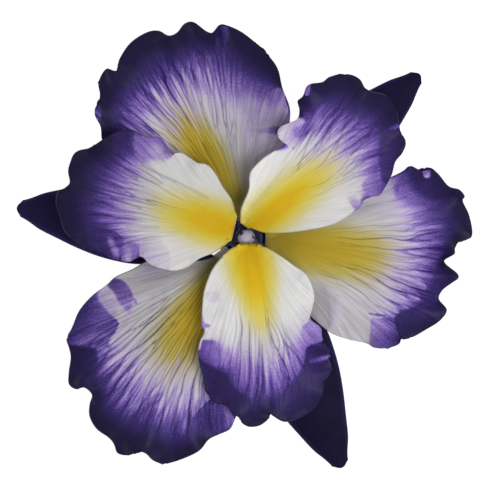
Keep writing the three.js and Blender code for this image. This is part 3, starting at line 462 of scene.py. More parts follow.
# %% Front bottom petal
PETALS["petal_front_bottom"] = dict(
    whorl=FRONT, claw=286, shoulders=[12, 28], throat=[[3, -2.4], [-1.6, -2.2]], dark_foot=0.9, spread=0.25,
    fan=275, gold=dict(at=[1.5, -8], towards=281, half=[20, 7.6], widening=-0.3, fade=0.85),
    light=[1.03, 1.02], deep=0, veined=dict(between=[-8, 9], starts=[20, 36]),
    dust=[
        [5, 0, 0], [6, 0, 0.2], [7, 0, 1], [8, 0.3, 3], [9, 2, 7.5], [10, 5, 10], [12, 6.7, 13],
        [14, 7.5, 16], [16, 8.5, 19.5], [18, 6, 16], [19, 4.5, 15.5], [20, 6, 16.8], [22, 8, 19.5],
        [24, 7, 18], [26, 6, 17], [28, 8, 14], [29, 7, 10], [30, 4, 6], [31, 0.1, 0.8], [32, 0, 0.3],
        [33, 0, 0.6], [34, 0, 0],
    ],
    patches=[
        [[-12, -28.9, 0.4, 1.2], [-8, -28.4, 0.8, 1.3], [-4.5, -29.5, 1.8, 1.2], [-4, -25.5, 2, 1.6],
         [-11.5, -26, 0.5, 1.6]],
        [[-13, -29.8, 0.6, 0.1], [-10.5, -29.3, 0.6, 0.05], [-8.8, -29.5, 1.2, 0.3], [-7, -31, 3, 0.65],
         [-5, -33.3, 4, 0.85], [-5.3, -36, 3, 0.4], [-9, -36.8, 2, 0.05], [-12, -35.5, 1.5, -0.2],
         [-14.2, -33, 0.5, -0.2]],
        [[-10.5, -31.2, 1.5, 0.15], [-8.6, -31, 1.5, 0.3], [-7.6, -33, 2, 0.5], [-9, -34.3, 2, 0.25],
         [-11.2, -33.5, 1.5, 0.05]],
        [[-15, -35.8, 1, -0.6], [-12, -36.3, 1.2, -0.35], [-9, -37.8, 1.2, -0.5], [-5.5, -38.8, 1, -0.5],
         [-4.3, -41, 1.2, -0.4], [-2.5, -43.6, 0.8, -0.4], [0, -45, 1, -0.35], [1, -48, 2, -0.4],
         [-2, -53.5, 1, -0.8], [-13, -50, 1, -0.8]],
        [[17.3, -31.4, 0.8, -0.3], [20, -30.3, 0.6, -0.45], [25, -31, 0.5, -0.4], [26, -36, 0.5, -0.6],
         [24, -47, 0.5, -0.8], [16, -54, 0.5, -0.8], [10.5, -53, 1, -0.7], [8, -47.5, 1.8, -0.25],
         [11.5, -43.3, 1.8, -0.2], [14.8, -39.3, 1.6, -0.25], [16.8, -35, 1, -0.35]],
        [[18.3, -34.8, 0.8, 0], [23.6, -33.5, 0.5, 0.3], [24.2, -34.2, 0.5, 0.25], [19, -35.6, 0.8, -0.1]],
        [[16.2, -25, 0.6, 0.5], [18.5, -23.8, 0.4, 0.5], [21.3, -25.3, 0.4, 0.4], [22.3, -28.7, 0.4, 0.3],
         [20, -29.9, 0.6, 0.25], [16.6, -29.6, 1, 0.35], [15.8, -27.5, 1.4, 0.65]],
        [[-11.2, -27.6, 0.4, 1.2], [-12.5, -29.6, 0.4, 1.2], [-13.3, -31.8, 0.3, 0.8],
         [-14.4, -31.5, 0.4, 1], [-13.6, -29, 0.4, 1.2], [-12, -27, 0.4, 1.2]],
        [[-12.8, -24.1, 0.6, 0.5], [-10.5, -24.4, 0.8, 0.4], [-10.3, -25.2, 0.6, 0.4],
         [-12, -25.3, 0.4, 0.5]],
        [[-11.5, -15, 2, 1.15], [-7.5, -15, 2, 1.15], [-7, -18.5, 2, 1.15], [-11.5, -18.5, 2, 1.15]],
        [[14.5, -10, 2, 1.25], [17.5, -12, 2, 1.25], [18.5, -16.5, 2, 1.25], [15, -15, 3, 1.25]],
        [[15.5, -19, 1, 1.4], [18.7, -20, 0.4, 1.3], [17.9, -23, 0.4, 1.1], [16, -24.8, 1, 1.1],
         [13.5, -22, 2, 1.4]],
    ],
    painted_shading=[
        [[-2, -25, 4, 0.94], [5, -24, 4, 0.92], [11, -26, 4, 0.92], [14, -31, 4, 0.92], [8, -36, 4, 0.92],
         [0, -36, 4, 0.93]],
    ],
    creases=[
        [-12.5, -29.5, -6, -31, 1.8, 0.6], [-11, -26.5, -7, -27.5, 1.5, -0.4], [17, -25.5, 21, -28, 2, 0.6],
        [17, -30.5, 21, -31, 1.7, -0.4], [18.5, -34.5, 22.5, -35, 1.7, 0.4],
        [6.8, -48.5, 5.5, -40, 1.6, -0.6], [16, -12, 14, -18, 2.5, 0.5], [-10, -15, -8.5, -20, 2, -0.4],
        [-11, -41, -5, -38, 2, -0.5],
    ],
    rim=[
        [5.6, -3.2, 0], [9.5, -5.5, 0], [13, -8, 0.2], [17, -11, 0.4], [19, -16, 0.3], [18.6, -20, 0.3],
        [17.9, -22.6, 0.9], [18.8, -24.2, 1.1], [21, -26, 0.3], [21.5, -29, -0.4], [23.5, -32.5, 0.4],
        [23.2, -34.5, 1.4], [24, -37.5, -0.3], [22.2, -40.5, 0], [21.5, -44, 0.6], [19, -48.5, -0.3],
        [15, -51, -0.5], [11, -52, 0.4], [8, -50.5, 0.8], [6.5, -49.5, 1], [6.4, -51, -0.5], [4, -53, -0.8],
        [1, -53.5, -0.6], [-1, -52.5, 0.3], [-1.8, -51, 1], [-4, -49.5, 0.6], [-5.5, -47.5, -0.2],
        [-9, -46.5, -0.5], [-11, -43.5, -0.3], [-12.2, -39, 0.3], [-13.2, -34, 0.7], [-12.8, -30, 0.7],
        [-11.4, -27, 0.2], [-12.2, -25, 0.6], [-12, -20, 0.2], [-11.4, -15, 0], [-9, -9, 0], [-4.6, -4, 0],
    ],
)
print("petals:", len(PETALS), "with", sum(len(petal["rim"]) for petal in PETALS.values()), "rim points")

# %% [markdown]
# The rim is what everyone sees first of such a petal. It could be a circle with waves added, but its
# lobes and notches are all different, so it is a curve through points chosen one by one.


# %% The rim of a petal
def rim_path(petal):
    """The whole edge of a blade: one end of the throat, the rim, and the other end of the throat. Each
    rim point is let out by spread mm, at right angles to the line between its two neighbours."""
    first, second = ([*end, 0] for end in petal["throat"])
    path = np.array([first, *petal["rim"], second], float)
    chord = path[2:, :2] - path[:-2, :2]
    out = np.stack([-chord[:, 1], chord[:, 0]], -1) / np.hypot(*chord.T)[:, None]
    middle = path[:, :2].mean(0)
    outward = np.sign(((path[1:-1, :2] - middle) * out).sum())
    path[1:-1, :2] += petal["spread"] * outward * out
    return path


for name, petal in PETALS.items():
    print(name, "edge in mm:", round(float(np.hypot(*np.diff(rim_path(petal)[:, :2], axis=0).T).sum())))

# %% [markdown]
# A grid has to fill that outline. Its four sides are the throat, the two sides of the blade and its outer
# edge, parted at the shoulders. A Coons patch fills any four sides smoothly. It is made from calmed sides,
# and the small waves of the real ones are added near the edge only, so the middle of the grid stays even.


# %% The plan of a blade
def calmed(curve):
    """A curve of points with its small waves taken out and its ends kept: the mean under a Hann window
    a quarter of its length wide, over the curve continued at each end by its own point reflection."""
    reach = len(curve) // 8
    window = np.hanning(2 * reach + 3)[1:-1]
    before, after = 2 * curve[0] - curve[reach:0:-1], 2 * curve[-1] - curve[-2:-reach - 2:-1]
    longer = np.concatenate([before, curve, after])
    return np.stack([np.convolve(axis, window / window.sum(), "valid") for axis in longer.T], -1)


def blade_plan(petal, columns, rows):
    """Plan of the blade, u across and v from the throat to the outer edge: the sum of the patch ruled
    between throat and outer edge and the one ruled between the sides, less the one ruled between the
    four corners. The edges' small waves are added after, fading from each edge with the third power."""
    path = rim_path(petal)
    shares = shares_of(path)
    left, right = (shares[place + 1] for place in petal["shoulders"])
    u, v = np.linspace(0, 1, columns), np.linspace(0, 1, rows)
    throat = lerp(*np.array(petal["throat"], float)[:, None], u[:, None])
    places = lerp(left, right, u), v * left, 1 - v * (1 - right)
    edges = [point_at(path, shares, share)[:, :2] for share in places]
    outer, first, second = (calmed(edge) for edge in edges)
    waves = [edge - calm for edge, calm in zip(edges, (outer, first, second))]
    u, v = u[None, :, None], v[:, None, None]
    plan = (1 - v) * throat + v * outer + (1 - u) * first[:, None] + u * second[:, None]
    plan -= (1 - v) * lerp(throat[0], throat[-1], u) + v * lerp(outer[0], outer[-1], u)
    return plan + v**3 * waves[0] + (1 - u) ** 3 * waves[1][:, None] + u**3 * waves[2][:, None]


top_plan = blade_plan(PETALS["petal_back_top"], 9, 9)
print("top petal spans in mm:", np.ptp(top_plan.reshape(-1, 2), axis=0).round(1).tolist())

# %% [markdown]
# Everything else about a point of the blade is told by where the rim is: how near it is, how high it is
# waved there, and how far the colour reaches in. So the rim is sampled once, and each point of the grid is
# measured against all samples. The nearest one would do for the height, but the reach of the dust changes
# along the rim, and a softened smallest share avoids hard borders where the nearest sample changes.

# %% Measure a petal against its rim
RIM_SAMPLES = 420
NO_DUST = 3.0


def soft_share(apart, reach, step):
    """Distance from the rim as a share of a reach that changes along it. It is the smallest distance /
    reach of all samples, softened: the power -1/6 of the sum of (reach / distance)⁶ step / (16/15
    distance), which is exact for a straight rim with one reach. 0.04 mm² keeps the distance above zero."""
    distance = np.sqrt(apart + 0.04)
    total = ((reach / distance) ** 6 * step / (16 / 15 * distance)).sum(-1)
    return np.minimum(total + 1e-12, 1e12) ** (-1 / 6)


def measure(petal, x, y):
    """What the rim tells each point: inwards, its distance from the nearest sample; along, where on the
    rim that is, in mm; ruffle, the samples' heights averaged with weight 1 / (distance² + 0.5)³; and
    dusting, -1 at the rim, 0 where the indigo ends and 1 where the violet ends."""
    path = rim_path(petal)
    shares = shares_of(path)
    share = np.linspace(0, 1, RIM_SAMPLES)
    rim = point_at(path, shares, share)
    place, indigo, violet = np.array(petal["dust"], float).T
    indigo, violet = (np.interp(share, shares[place.astype(int) + 1], reach) for reach in (indigo, violet))
    apart = (x[..., None] - rim[:, 0]) ** 2 + (y[..., None] - rim[:, 1]) ** 2
    weight = 1 / (apart + 0.5) ** 3
    length = np.hypot(*np.diff(rim[:, :2], axis=0).T).sum()
    ink, tint = (soft_share(apart, reach, length / RIM_SAMPLES) for reach in (indigo, violet))
    beyond = np.minimum(tint * (ink - 1) / np.maximum(ink - tint, 0.01), NO_DUST)
    return dict(
        inwards=np.sqrt(apart.min(-1)),
        along=share[apart.argmin(-1)] * length,
        ruffle=(weight * rim[:, 2]).sum(-1) / weight.sum(-1),
        dusting=np.where(ink < 1, ink - 1, beyond),
    )


middle = measure(PETALS["petal_back_top"], *(np.array([at]) for at in (-15, 35)))
print("in the middle of the top petal:", {key: round(float(value[0]), 2) for key, value in middle.items()})

# %% [markdown]
# On the real flower the veins run out from the throat like a fountain: close together and almost
# parallel at first, then fanning apart and bending towards the sides. They are pressed into the blade
# as fine grooves, and the violet dust collects in them. A line could be drawn for each one, but a
# formula does it better: the angle round a point just behind the throat, divided by a spread that grows
# outwards, counts the veins, and each whole number is one vein with its own start, depth and wander.

# %% Veins
FAN_BEHIND = 7
FAN_BEND = 0.3
FAN_REACH = 50
FAN_SCALE = 30
WIDE_VEINS = dict(spacing=2.0, half_width=0.28)
FINE_VEINS = dict(spacing=1.05, half_width=0.2)
SWAY = 1.4
QUIVER = 0.35
UNEVEN_GAPS = 0.7
FAINTEST = 0.3
SETS_IN = 9
VEINED_SOFT = 5


def fan(petal, x, y):
    """Across, the angle from the petal's axis round a point behind its throat, over a spread growing from
    1 - FAN_BEND to 1 at FAN_REACH, times FAN_SCALE mm; and far, the distance from that point."""
    axis = math.radians(petal["fan"])
    middle = np.mean(petal["throat"], axis=0) - FAN_BEHIND * np.array([math.cos(axis), math.sin(axis)])
    dx, dy = x - middle[0], y - middle[1]
    turned = np.arctan2(
        dy * math.cos(axis) - dx * math.sin(axis), dx * math.cos(axis) + dy * math.sin(axis)
    )
    far = np.hypot(dx, dy)
    return turned / (1 - FAN_BEND + FAN_BEND * np.clip(far / FAN_REACH, 0, 1.2)) * FAN_SCALE, far


def veins(petal, across, far, salt, spacing, half_width):
    """Depth 0 to 1 of the nearest of a row of veins, spacing mm apart at FAN_SCALE, and of the trough
    that it lies in: a bell across each one, of half_width mm and of three times that. Each vein sets in
    softly at its own distance, and all are faint outside the petal's veined part. They sway in humps of
    7 by 11 mm, and quiver in humps of 2 by 5 mm."""
    veined = petal["veined"]
    wavy = across + SWAY * wander(across / 7, far / 11, salt)
    wavy += QUIVER * wander(across / 2, far / 5, salt + 1)
    nearest = np.floor(wavy / spacing)
    depth, trough = np.zeros_like(far), np.zeros_like(far)
    for step in (-1, 0, 1):
        number = nearest + step
        centre = (number + 0.5 + UNEVEN_GAPS * (draw(number, salt + 2) - 0.5)) * spacing
        start = lerp(*veined["starts"], draw(number, salt + 3))
        aside = (wavy - centre) * far / FAN_SCALE / half_width
        strength = lerp(FAINTEST, 1, draw(number, salt + 4)) * np.clip((far - start) / SETS_IN, 0, 1)
        depth = np.maximum(depth, strength * np.exp(-(aside**2)))
        trough = np.maximum(trough, strength * np.exp(-((aside / 3) ** 2)))
    low, high = veined["between"]
    inside = np.clip(0.5 + np.minimum(across - low, high - across) / VEINED_SOFT, 0.2, 1)
    return depth * inside, trough * inside


for name, petal in PETALS.items():
    low, high = petal["veined"]["between"]
    counts = [round((high - low) / row["spacing"]) for row in (WIDE_VEINS, FINE_VEINS)]
    print(name, "veins, wide and fine:", counts)

# %% [markdown]
# A blade is thin and closed: a top, an underside and a rounded edge between them. Blender's Solidify
# could thicken a sheet, but then the colours of the edge could not be told apart from the faces, so the
# two faces and one row of points round the edge are worked out here.

# %% Thin closed blades
EDGE_ROUND = 0.35


def unit(vectors):
    """Vectors divided by their lengths."""
    return vectors / np.maximum(np.linalg.norm(vectors, axis=-1, keepdims=True), 1e-9)


def closed_blade(middle, thickness):
    """Points and faces of a closed blade round a grid of middle points. The faces lie half a thickness
    either way along the grid's normal, and the edge's points lie EDGE_ROUND of a thickness outside."""
    rows, columns = middle.shape[:2]
    normal = unit(np.cross(np.gradient(middle, axis=1), np.gradient(middle, axis=0)))
    upward = np.sign(normal[rows // 2:, :, 2].mean())
    half = normal * upward * thickness[..., None] / 2
    number = np.arange(rows * columns).reshape(rows, columns)
    quads = np.stack([number[:-1, :-1], number[:-1, 1:], number[1:, 1:], number[1:, :-1]], -1).reshape(-1, 4)
    if upward < 0:
        quads = quads[:, ::-1]
    rim = np.concatenate([number[0, :-1], number[:-1, -1], number[-1, :0:-1], number[:0:-1, 0]])
    inner = np.concatenate([number[1, :-1], number[:-1, -2], number[-2, :0:-1], number[:0:-1, 1]])
    flat = middle.reshape(-1, 3)
    outward = unit(flat[rim] - flat[inner]) * (EDGE_ROUND * thickness.reshape(-1)[rim])[:, None]
    points = np.concatenate([flat + half.reshape(-1, 3), flat - half.reshape(-1, 3), flat[rim] + outward])
    total = rows * columns
    edge = 2 * total + np.arange(len(rim))
    following = np.roll(rim, -1), np.roll(edge, -1)
    upper = np.stack([rim, edge, following[1], following[0]], -1)
    lower = np.stack([edge, rim + total, following[0] + total, following[1]], -1)
    strip = np.concatenate([upper, lower])
    if upward < 0:
        strip = strip[:, ::-1]
    faces = np.concatenate([quads, quads[:, ::-1] + total, strip])
    return points, faces, rim


def signed_volume(points, faces):
    """Volume of a closed mesh in its points' units: a sixth of the sum of a · (b × c) over its
    triangles. It is positive where the faces point outwards."""
    a, b, c, d = (points[faces[:, k]] for k in range(4))
    return (np.einsum("ij,ij->", a, np.cross(b, c)) + np.einsum("ij,ij->", a, np.cross(c, d))) / 6


square = np.dstack([*np.meshgrid(np.arange(3.0), np.arange(3.0)), np.zeros((3, 3))])
points, faces, rim = closed_blade(square, np.full((3, 3), 0.5))
print("a 2 mm square blade, 0.5 mm thick, holds mm3:", round(signed_volume(points, faces), 2))

# %% [markdown]
# foreach_set hands whole arrays to Blender at once, which is far quicker than adding faces one by one.
# Every field travels with the mesh as an attribute of its points, and the fan as a UV map.


# %% Meshes that carry their fields
def make_piece(name, points, faces, attributes, uv):
    """A mesh object at the origin from points in mm and faces of four, with its attributes and its UV map
    named fan, both given for each point."""
    mesh = bpy.data.meshes.new(name)
    mesh.vertices.add(len(points))
    mesh.vertices.foreach_set("co", (points * MM).astype(np.float32).ravel())
    mesh.loops.add(faces.size)
    mesh.loops.foreach_set("vertex_index", faces.astype(np.int32).ravel())
    mesh.polygons.add(len(faces))
    mesh.polygons.foreach_set("loop_start", np.arange(0, faces.size, 4, dtype=np.int32))
    mesh.update(calc_edges=True)
    mesh.validate()
    mesh.polygons.foreach_set("use_smooth", np.ones(len(faces), bool))
    for attribute, values in attributes.items():
        made = mesh.attributes.new(attribute, "FLOAT", "POINT")
        made.data.foreach_set("value", values.astype(np.float32))
    layer = mesh.uv_layers.new(name="fan")
    layer.data.foreach_set("uv", uv[faces.ravel()].astype(np.float32).ravel())
    piece = bpy.data.objects.new(name, mesh)
    bpy.context.scene.collection.objects.link(piece)
    print(name, "triangles:", 2 * len(faces), "volume in mm3:", round(signed_volume(points, faces)))
    return piece


print("meshes that the frame brings:", len(bpy.data.meshes))

# %% [markdown]
# A real petal has places that no rule gives: a fold that stayed pale, a lobe that took more dust, a
# crease where it was pressed, and a few spots of painted highlight and painted shadow. An image could hold
# them, but a few outlines and lines in millimetres stay sharp at any size, can be changed one by one, and
# bend with the blade.

# %% Patches and creases laid on the blade
BORDER_STEPS = 8
LEAST_SOFT = 0.3


def painted(values, outline, x, y):
    """Lays a patch over values. Its border is the closed curve through the outline. The cover rises across
    it from 0 to 1 over the softness of the nearest border point, and the tone is the mean of the border's
    tones with weight 1 / (distance² + 1). A point is inside where a ray from it crosses the border an odd
    number of times."""
    places = np.linspace(1, len(outline) + 1, BORDER_STEPS * len(outline), endpoint=False)
    bx, by, soft, tone = through(np.array([outline[-1], *outline, *outline[:2]], float), places).T
    next_x, next_y = np.roll(bx, -1), np.roll(by, -1)
    px, py = x[..., None], y[..., None]
    slope = (next_x - bx) / np.where(next_y == by, 1e-9, next_y - by)
    inside = (((by > py) != (next_y > py)) & (px < bx + (py - by) * slope)).sum(-1) % 2
    apart = (px - bx) ** 2 + (py - by) ** 2
    soft = np.maximum(soft, LEAST_SOFT)[apart.argmin(-1)]
    cover = np.clip(0.5 + (2 * inside - 1) * np.sqrt(apart.min(-1)) / soft, 0, 1)
    weight = 1 / (apart + 1)
    return lerp(values, (weight * tone).sum(-1) / weight.sum(-1), cover**2 * (3 - 2 * cover))


def pressed(creases, x, y):
    """Height that the creases give each point, each height · e^(-(distance / half width)²), where the
    distance is measured from the line between the crease's two ends."""
    height = np.zeros_like(x)
    for x0, y0, x1, y1, half, high in creases:
        along = ((x - x0) * (x1 - x0) + (y - y0) * (y1 - y0)) / ((x1 - x0) ** 2 + (y1 - y0) ** 2)
        along = np.clip(along, 0, 1)
        away = np.hypot(x - lerp(x0, x1, along), y - lerp(y0, y1, along))
        height += high * np.exp(-((away / half) ** 2))
    return height


for key in ("patches", "creases"):
    print(key, "laid on by hand:", sum(len(petal[key]) for petal in PETALS.values()))

# %% [markdown]
# A petal's colour and relief come from the same few fields, worked out for every point of its grid and
# stored on the mesh as attributes, which the material reads later. That keeps the veins that are pressed
# into the blade exactly under the veins that are coloured.

# %% What each point of a petal shows
SHOWN = ("gold", "vein", "fine_vein", "trough", "combed", "shade")
YOLK = 0.7
FINE_SHARE = 0.6
COMBED_SOFT = 6
THROAT_SHADE = 9
LIGHT_WIDE = 36
DARKEST_MARK = 0.4


def egg(patch, x, y):
    """Distance from the middle of an egg as a share of its half sizes. Its half width grows by widening
    for each half length outwards, and beyond YOLK the distance counts slower by fade."""
    angle = math.radians(patch["towards"])
    dx, dy = x - patch["at"][0], y - patch["at"][1]
    out = (dx * math.cos(angle) + dy * math.sin(angle)) / patch["half"][0]
    side = (dy * math.cos(angle) - dx * math.sin(angle)) / patch["half"][1]
    share = np.hypot(out, side / (1 + patch["widening"] * np.clip(out, -1.2, 1.2)))
    return np.minimum(share, YOLK + (share - YOLK) * patch["fade"])


def petal_fields(petal, x, y, salt):
    """The rim's measures with the patches laid over the dusting; the fan and the two sizes of vein; combed,
    1 in the veined part where the brush left streaks; gold, which passes 1 at the border of the yellow; and
    shade, painted light from one side of the petal to the other, and painted shade down in its throat."""
    fields = measure(petal, x, y)
    across, far = fan(petal, x, y)
    fields["across"], fields["far"] = across, far
    for patch in petal["patches"]:
        fields["dusting"] = painted(fields["dusting"], patch, x, y)
    fields["vein"], trough = veins(petal, across, far, salt, **WIDE_VEINS)
    fields["fine_vein"], fine_trough = veins(petal, across, far, salt + 10, **FINE_VEINS)
    fields["trough"] = np.maximum(trough, FINE_SHARE * fine_trough)
    low, high = petal["veined"]["between"]
    fields["combed"] = np.clip(0.5 + np.minimum(across - low, high - across) / COMBED_SOFT, 0, 1)
    throat = np.mean(petal["throat"], axis=0)
    depth = np.exp(-((x - throat[0]) ** 2 + (y - throat[1]) ** 2) / (2 * THROAT_SHADE**2))
    # Painted light from one side of the petal to the other, and painted shade down in its throat
    light = lerp(*petal["light"], np.clip(0.5 + across / LIGHT_WIDE, 0, 1))
    fields["shade"] = light * (1 - petal["deep"] * depth)
    # Painted shading: painted shade below 1 and painted light above 1
    for patch in petal["painted_shading"]:
        fields["shade"] *= painted(np.ones_like(x), patch, x, y)
    fields["shade"] *= 1 - np.minimum(pressed(petal.get("marks", []), x, y), DARKEST_MARK)
    fields["gold"] = egg(petal["gold"], x, y)
    return fields


print("fields stored on each petal:", ", ".join(SHOWN), "and dusting and edge")

# %% [markdown]
# The blade's height is the CAD part's, with three fine things added: the grooves of the veins, a shallow
# crinkle along the rim, and a slight unevenness of the whole blade. Bump in the material could fake them,
# but real relief also catches the light from the side.

# %% The height of a blade
GROOVE = 0.34
FINE_GROOVE = 0.16
CRINKLE = 0.28
UNEVEN = 0.25
FOLDS = 0.3
CRINKLE_WIDE = 3
FOLDS_FROM = 6
CALM_RIM = 3


def blade_height(petal, x, y, fields, salt):
    """The CAD part's height, low + rise (1 - e^(-far / soft)) - droop (far / reach)² plus the ruffle
    fading in from the rim less the rolled edge and plus the creases, with the fine relief added. The
    crinkle has a hump each 2.4 mm of rim, the unevenness one each 9 mm, and the folds run out with the
    veins, 4.5 by 22 mm. The grooves are shallower by the rim and under the indigo."""
    whorl = petal["whorl"]
    middle = np.mean(petal["throat"], axis=0)
    far = np.hypot(x - middle[0], y - middle[1])
    arch = whorl["rise"] * (1 - np.exp(-far / whorl["soft"])) - whorl["droop"] * (far / whorl["reach"]) ** 2
    inwards = fields["inwards"]
    fade = np.exp(-((inwards / RUFFLE_DEPTH) ** 1.5))
    rolled = ROLL_DOWN * np.exp(-((inwards / ROLL_WIDE) ** 2))
    crinkle = CRINKLE * np.exp(-((inwards / CRINKLE_WIDE) ** 2))
    crinkle *= wander(fields["along"] / 2.4, inwards / 6, salt)
    uneven = UNEVEN * wander(x / 9, y / 9, salt + 5)
    folds = wander(fields["across"] / 4.5, fields["far"] / 22, salt + 6)
    folds *= FOLDS * np.clip(inwards / FOLDS_FROM, 0, 1)
    grooves = GROOVE * fields["vein"] + FINE_GROOVE * fields["fine_vein"]
    calm = np.clip(inwards / CALM_RIM, 0, 1) * np.clip(0.6 + fields["dusting"], 0.15, 1)
    return (whorl["low"] + arch + whorl["ruffle"] * fade * fields["ruffle"] - rolled
            + pressed(petal["creases"], x, y) + crinkle + uneven + folds - grooves * calm)


print("vein grooves in mm:", GROOVE, "and", FINE_GROOVE)

# %% [markdown]
# A petal narrows into a claw that rises from beside the receptacle, the short knob in the middle. The
# knob's outline is set here, because the claw's foot has to lie just clear of it.

# %% The claw
COLUMNS = 250
CLAW_STEPS = 10
RECEPTACLE_OUTLINE = np.array([
    [7.6, 0], [8, 0.8], [7.4, 2.2], [6.2, 4.2], [4.8, 6], [3.8, 8], [3.1, 10.2], [2.7, 12.4], [2.2, 13.8],
    [1.2, 14.7],
])
RECEPTACLE_HIGH = 15


def receptacle_radius(height):
    """Radius of the knob's outline at a height, by straight lines between its points."""
    return float(np.interp(height, RECEPTACLE_OUTLINE[:, 1], RECEPTACLE_OUTLINE[:, 0]))


def claw_rows(petal, throat):
    """Rows of points from the claw's foot up to the blade's first row, in plan with the square of the way
    up and in height evenly; and that way up, 0 to 1, for each of them."""
    whorl = petal["whorl"]
    seat = receptacle_radius(whorl["foot"]) + SEAT_GAP + CLAW_THICK / 2
    across, up = np.meshgrid(np.linspace(0, 1, COLUMNS), np.linspace(0, 1, CLAW_STEPS, endpoint=False))
    turn = math.radians(petal["claw"]) + (1 - 2 * across) * whorl["foot_half"] / seat
    foot = seat * np.cos(turn), seat * np.sin(turn), whorl["foot"]
    rows = [lerp(low, high, way) for low, high, way in zip(foot, throat.T, (up**2, up**2, up))]
    return np.dstack(rows), up


for title, whorl in ("front", FRONT), ("back", BACK):
    print(title, "claws stand at a radius of", round(receptacle_radius(whorl["foot"]) + SEAT_GAP, 2), "mm")

# %% [markdown]
# Now the petals. Each is one grid that starts at the foot of its claw, rises to the throat, and runs out
# to the rim. Claw and blade could be two pieces, but on a flower they are one, so the claw's rows simply
# go before the blade's.

# %% Make the petals
BLADE_STEPS = 132
# The claw's foot is painted near-black indigo: painted shade down beside the receptacle
FOOT_SHADE_TONE = -0.7
FOOT_SOFT = 0.15


def petal_piece(name, petal, salt):
    """One petal from its claw's foot to its rim. It thins from CLAW_THICK to RIM_THICK over the first
    quarter of its blade, and the points of its faces and edge share the fields of the grid."""
    plan = blade_plan(petal, COLUMNS, BLADE_STEPS)
    fields = petal_fields(petal, plan[..., 0], plan[..., 1], salt)
    blade = np.dstack([plan, blade_height(petal, plan[..., 0], plan[..., 1], fields, salt)])
    claw, up = claw_rows(petal, blade[0])
    out = np.linspace(0, 1, BLADE_STEPS)[:, None] + np.zeros(COLUMNS)
    thinning = lerp(CLAW_THICK, RIM_THICK, np.clip(4 * out, 0, 1))
    thickness = np.concatenate([np.full_like(up, CLAW_THICK), thinning])
    points, faces, rim = closed_blade(np.concatenate([claw, blade]), thickness)

    on_claw = np.repeat([1.0, 0.0], [up.size, plan[..., 0].size])
    on_claw = np.concatenate([on_claw, on_claw, on_claw[rim]])

    def everywhere(values, dark=0):
        """A blade's values carried on down the claw, where dark turns them to FOOT_SHADE_TONE, a near-black
        indigo of painted shade, for the points of both faces and of the edge."""
        foot = lerp(np.repeat(values[:1], CLAW_STEPS, axis=0), FOOT_SHADE_TONE, dark)
        whole = np.concatenate([foot, values]).reshape(-1)
        return np.concatenate([whole, whole, whole[rim]])

    shown = {key: everywhere(fields[key]) for key in SHOWN}
    # Painted light on the claw
    shown["shade"] *= 1 + (petal.get("claw_painted_light", 1) - 1) * on_claw
    shown["gold"] += petal.get("claw_pale", 0) * on_claw
    dark = np.clip((petal["dark_foot"] - up**2) / FOOT_SOFT + 0.5, 0, 1)
    shown["dusting"] = everywhere(fields["dusting"], dark)
    count = thickness.size
    shown["edge"] = np.concatenate([np.zeros(2 * count), np.ones(len(rim))])
    uv = np.stack([everywhere(fields["across"]), everywhere(fields["far"])], -1)
    piece = make_piece(name + "_fine", points, faces, shown, uv)
    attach(piece, "root")
    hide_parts(name)
    return piece


petals = {name: petal_piece(name, petal, 20 * k + 3) for k, (name, petal) in enumerate(PETALS.items())}
print("petals made:", len(petals))

# %% [markdown]
# The sepals are plain pointed blades under the petals, almost black. Only their tips show from above,
# so a short list of half widths and heights from foot to tip says all that is needed. dye_and_shading
# scales each one's colour as painted light and shade: lighter on the left sepal, darker on the lower right
# one. The tips are rounded a little more than the CAD part's, and up to 0.7 mm wider to each side.

# %% Make the sepals
SEPALS = {
    "sepal_left": dict(points=172.5, length=65.6, wide=0.93, bend=0, dye_and_shading=1.35),
    "sepal_upper_right": dict(points=43.3, length=67.8, wide=0.83, bend=0, dye_and_shading=1),
    "sepal_lower_right": dict(points=292.7, length=70.7, wide=0.96, bend=-0.7, dye_and_shading=0.9),
}
SEPAL_HALF_WIDTH = np.array([3, 5.5, 8.6, 11, 12, 11.8, 10.9, 9.3, 7.25, 5.1, 2.2])
SEPAL_HEIGHT = np.array([3, 4.6, 6.2, 7.2, 7.2, 6.5, 5.4, 4.2, 3, 2.2, 2])
SEPAL_FOOT_RADIUS = 7.3
SEPAL_SAG = 0.7
SEPAL_TIP_ROUND = 1.2
SEPAL_THICK = 1.2
SEPAL_COLUMNS = 60
SEPAL_ROWS = 90


def sepal_piece(name, sepal):
    """One sepal: out from the foot to the tip along its length, with the last of it drawn in at the sides
    to round the tip; aside by the half width at that share of it and by a slight bend, which is widest
    halfway; and down from the midrib by the square of the share of the half width."""
    u, v = np.meshgrid(np.linspace(0, 1, SEPAL_COLUMNS), np.linspace(0, 1, SEPAL_ROWS))
    place = v * (len(SEPAL_HALF_WIDTH) - 1)
    half = through(SEPAL_HALF_WIDTH[:, None], place)[..., 0]
    high = through(SEPAL_HEIGHT[:, None], place)[..., 0]
    share = 1 - 2 * u
    out = lerp(SEPAL_FOOT_RADIUS, sepal["length"], v) + SEPAL_TIP_ROUND * v**12 * (0.4 - share**2)
    side = share * half * sepal["wide"] + 4 * sepal["bend"] * v * (1 - v)
    angle = math.radians(sepal["points"])
    height = high - SEPAL_SAG * share**2
    middle = np.dstack([
        math.cos(angle) * out - math.sin(angle) * side, math.sin(angle) * out + math.cos(angle) * side, height
    ])
    points, faces, rim = closed_blade(middle, np.full_like(u, SEPAL_THICK))

    def everywhere(values):
        whole = values.reshape(-1)
        return np.concatenate([whole, whole, whole[rim]])

    inwards = everywhere((1 - np.abs(share)) * half)
    shown = dict(inwards=inwards, dye_and_shading=np.full_like(inwards, sepal["dye_and_shading"]))
    uv = np.stack([everywhere(side), everywhere(out)], -1)
    piece = make_piece(name + "_fine", points, faces, shown, uv)
    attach(piece, "root")
    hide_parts(name)
    return piece


sepals = {name: sepal_piece(name, sepal) for name, sepal in SEPALS.items()}

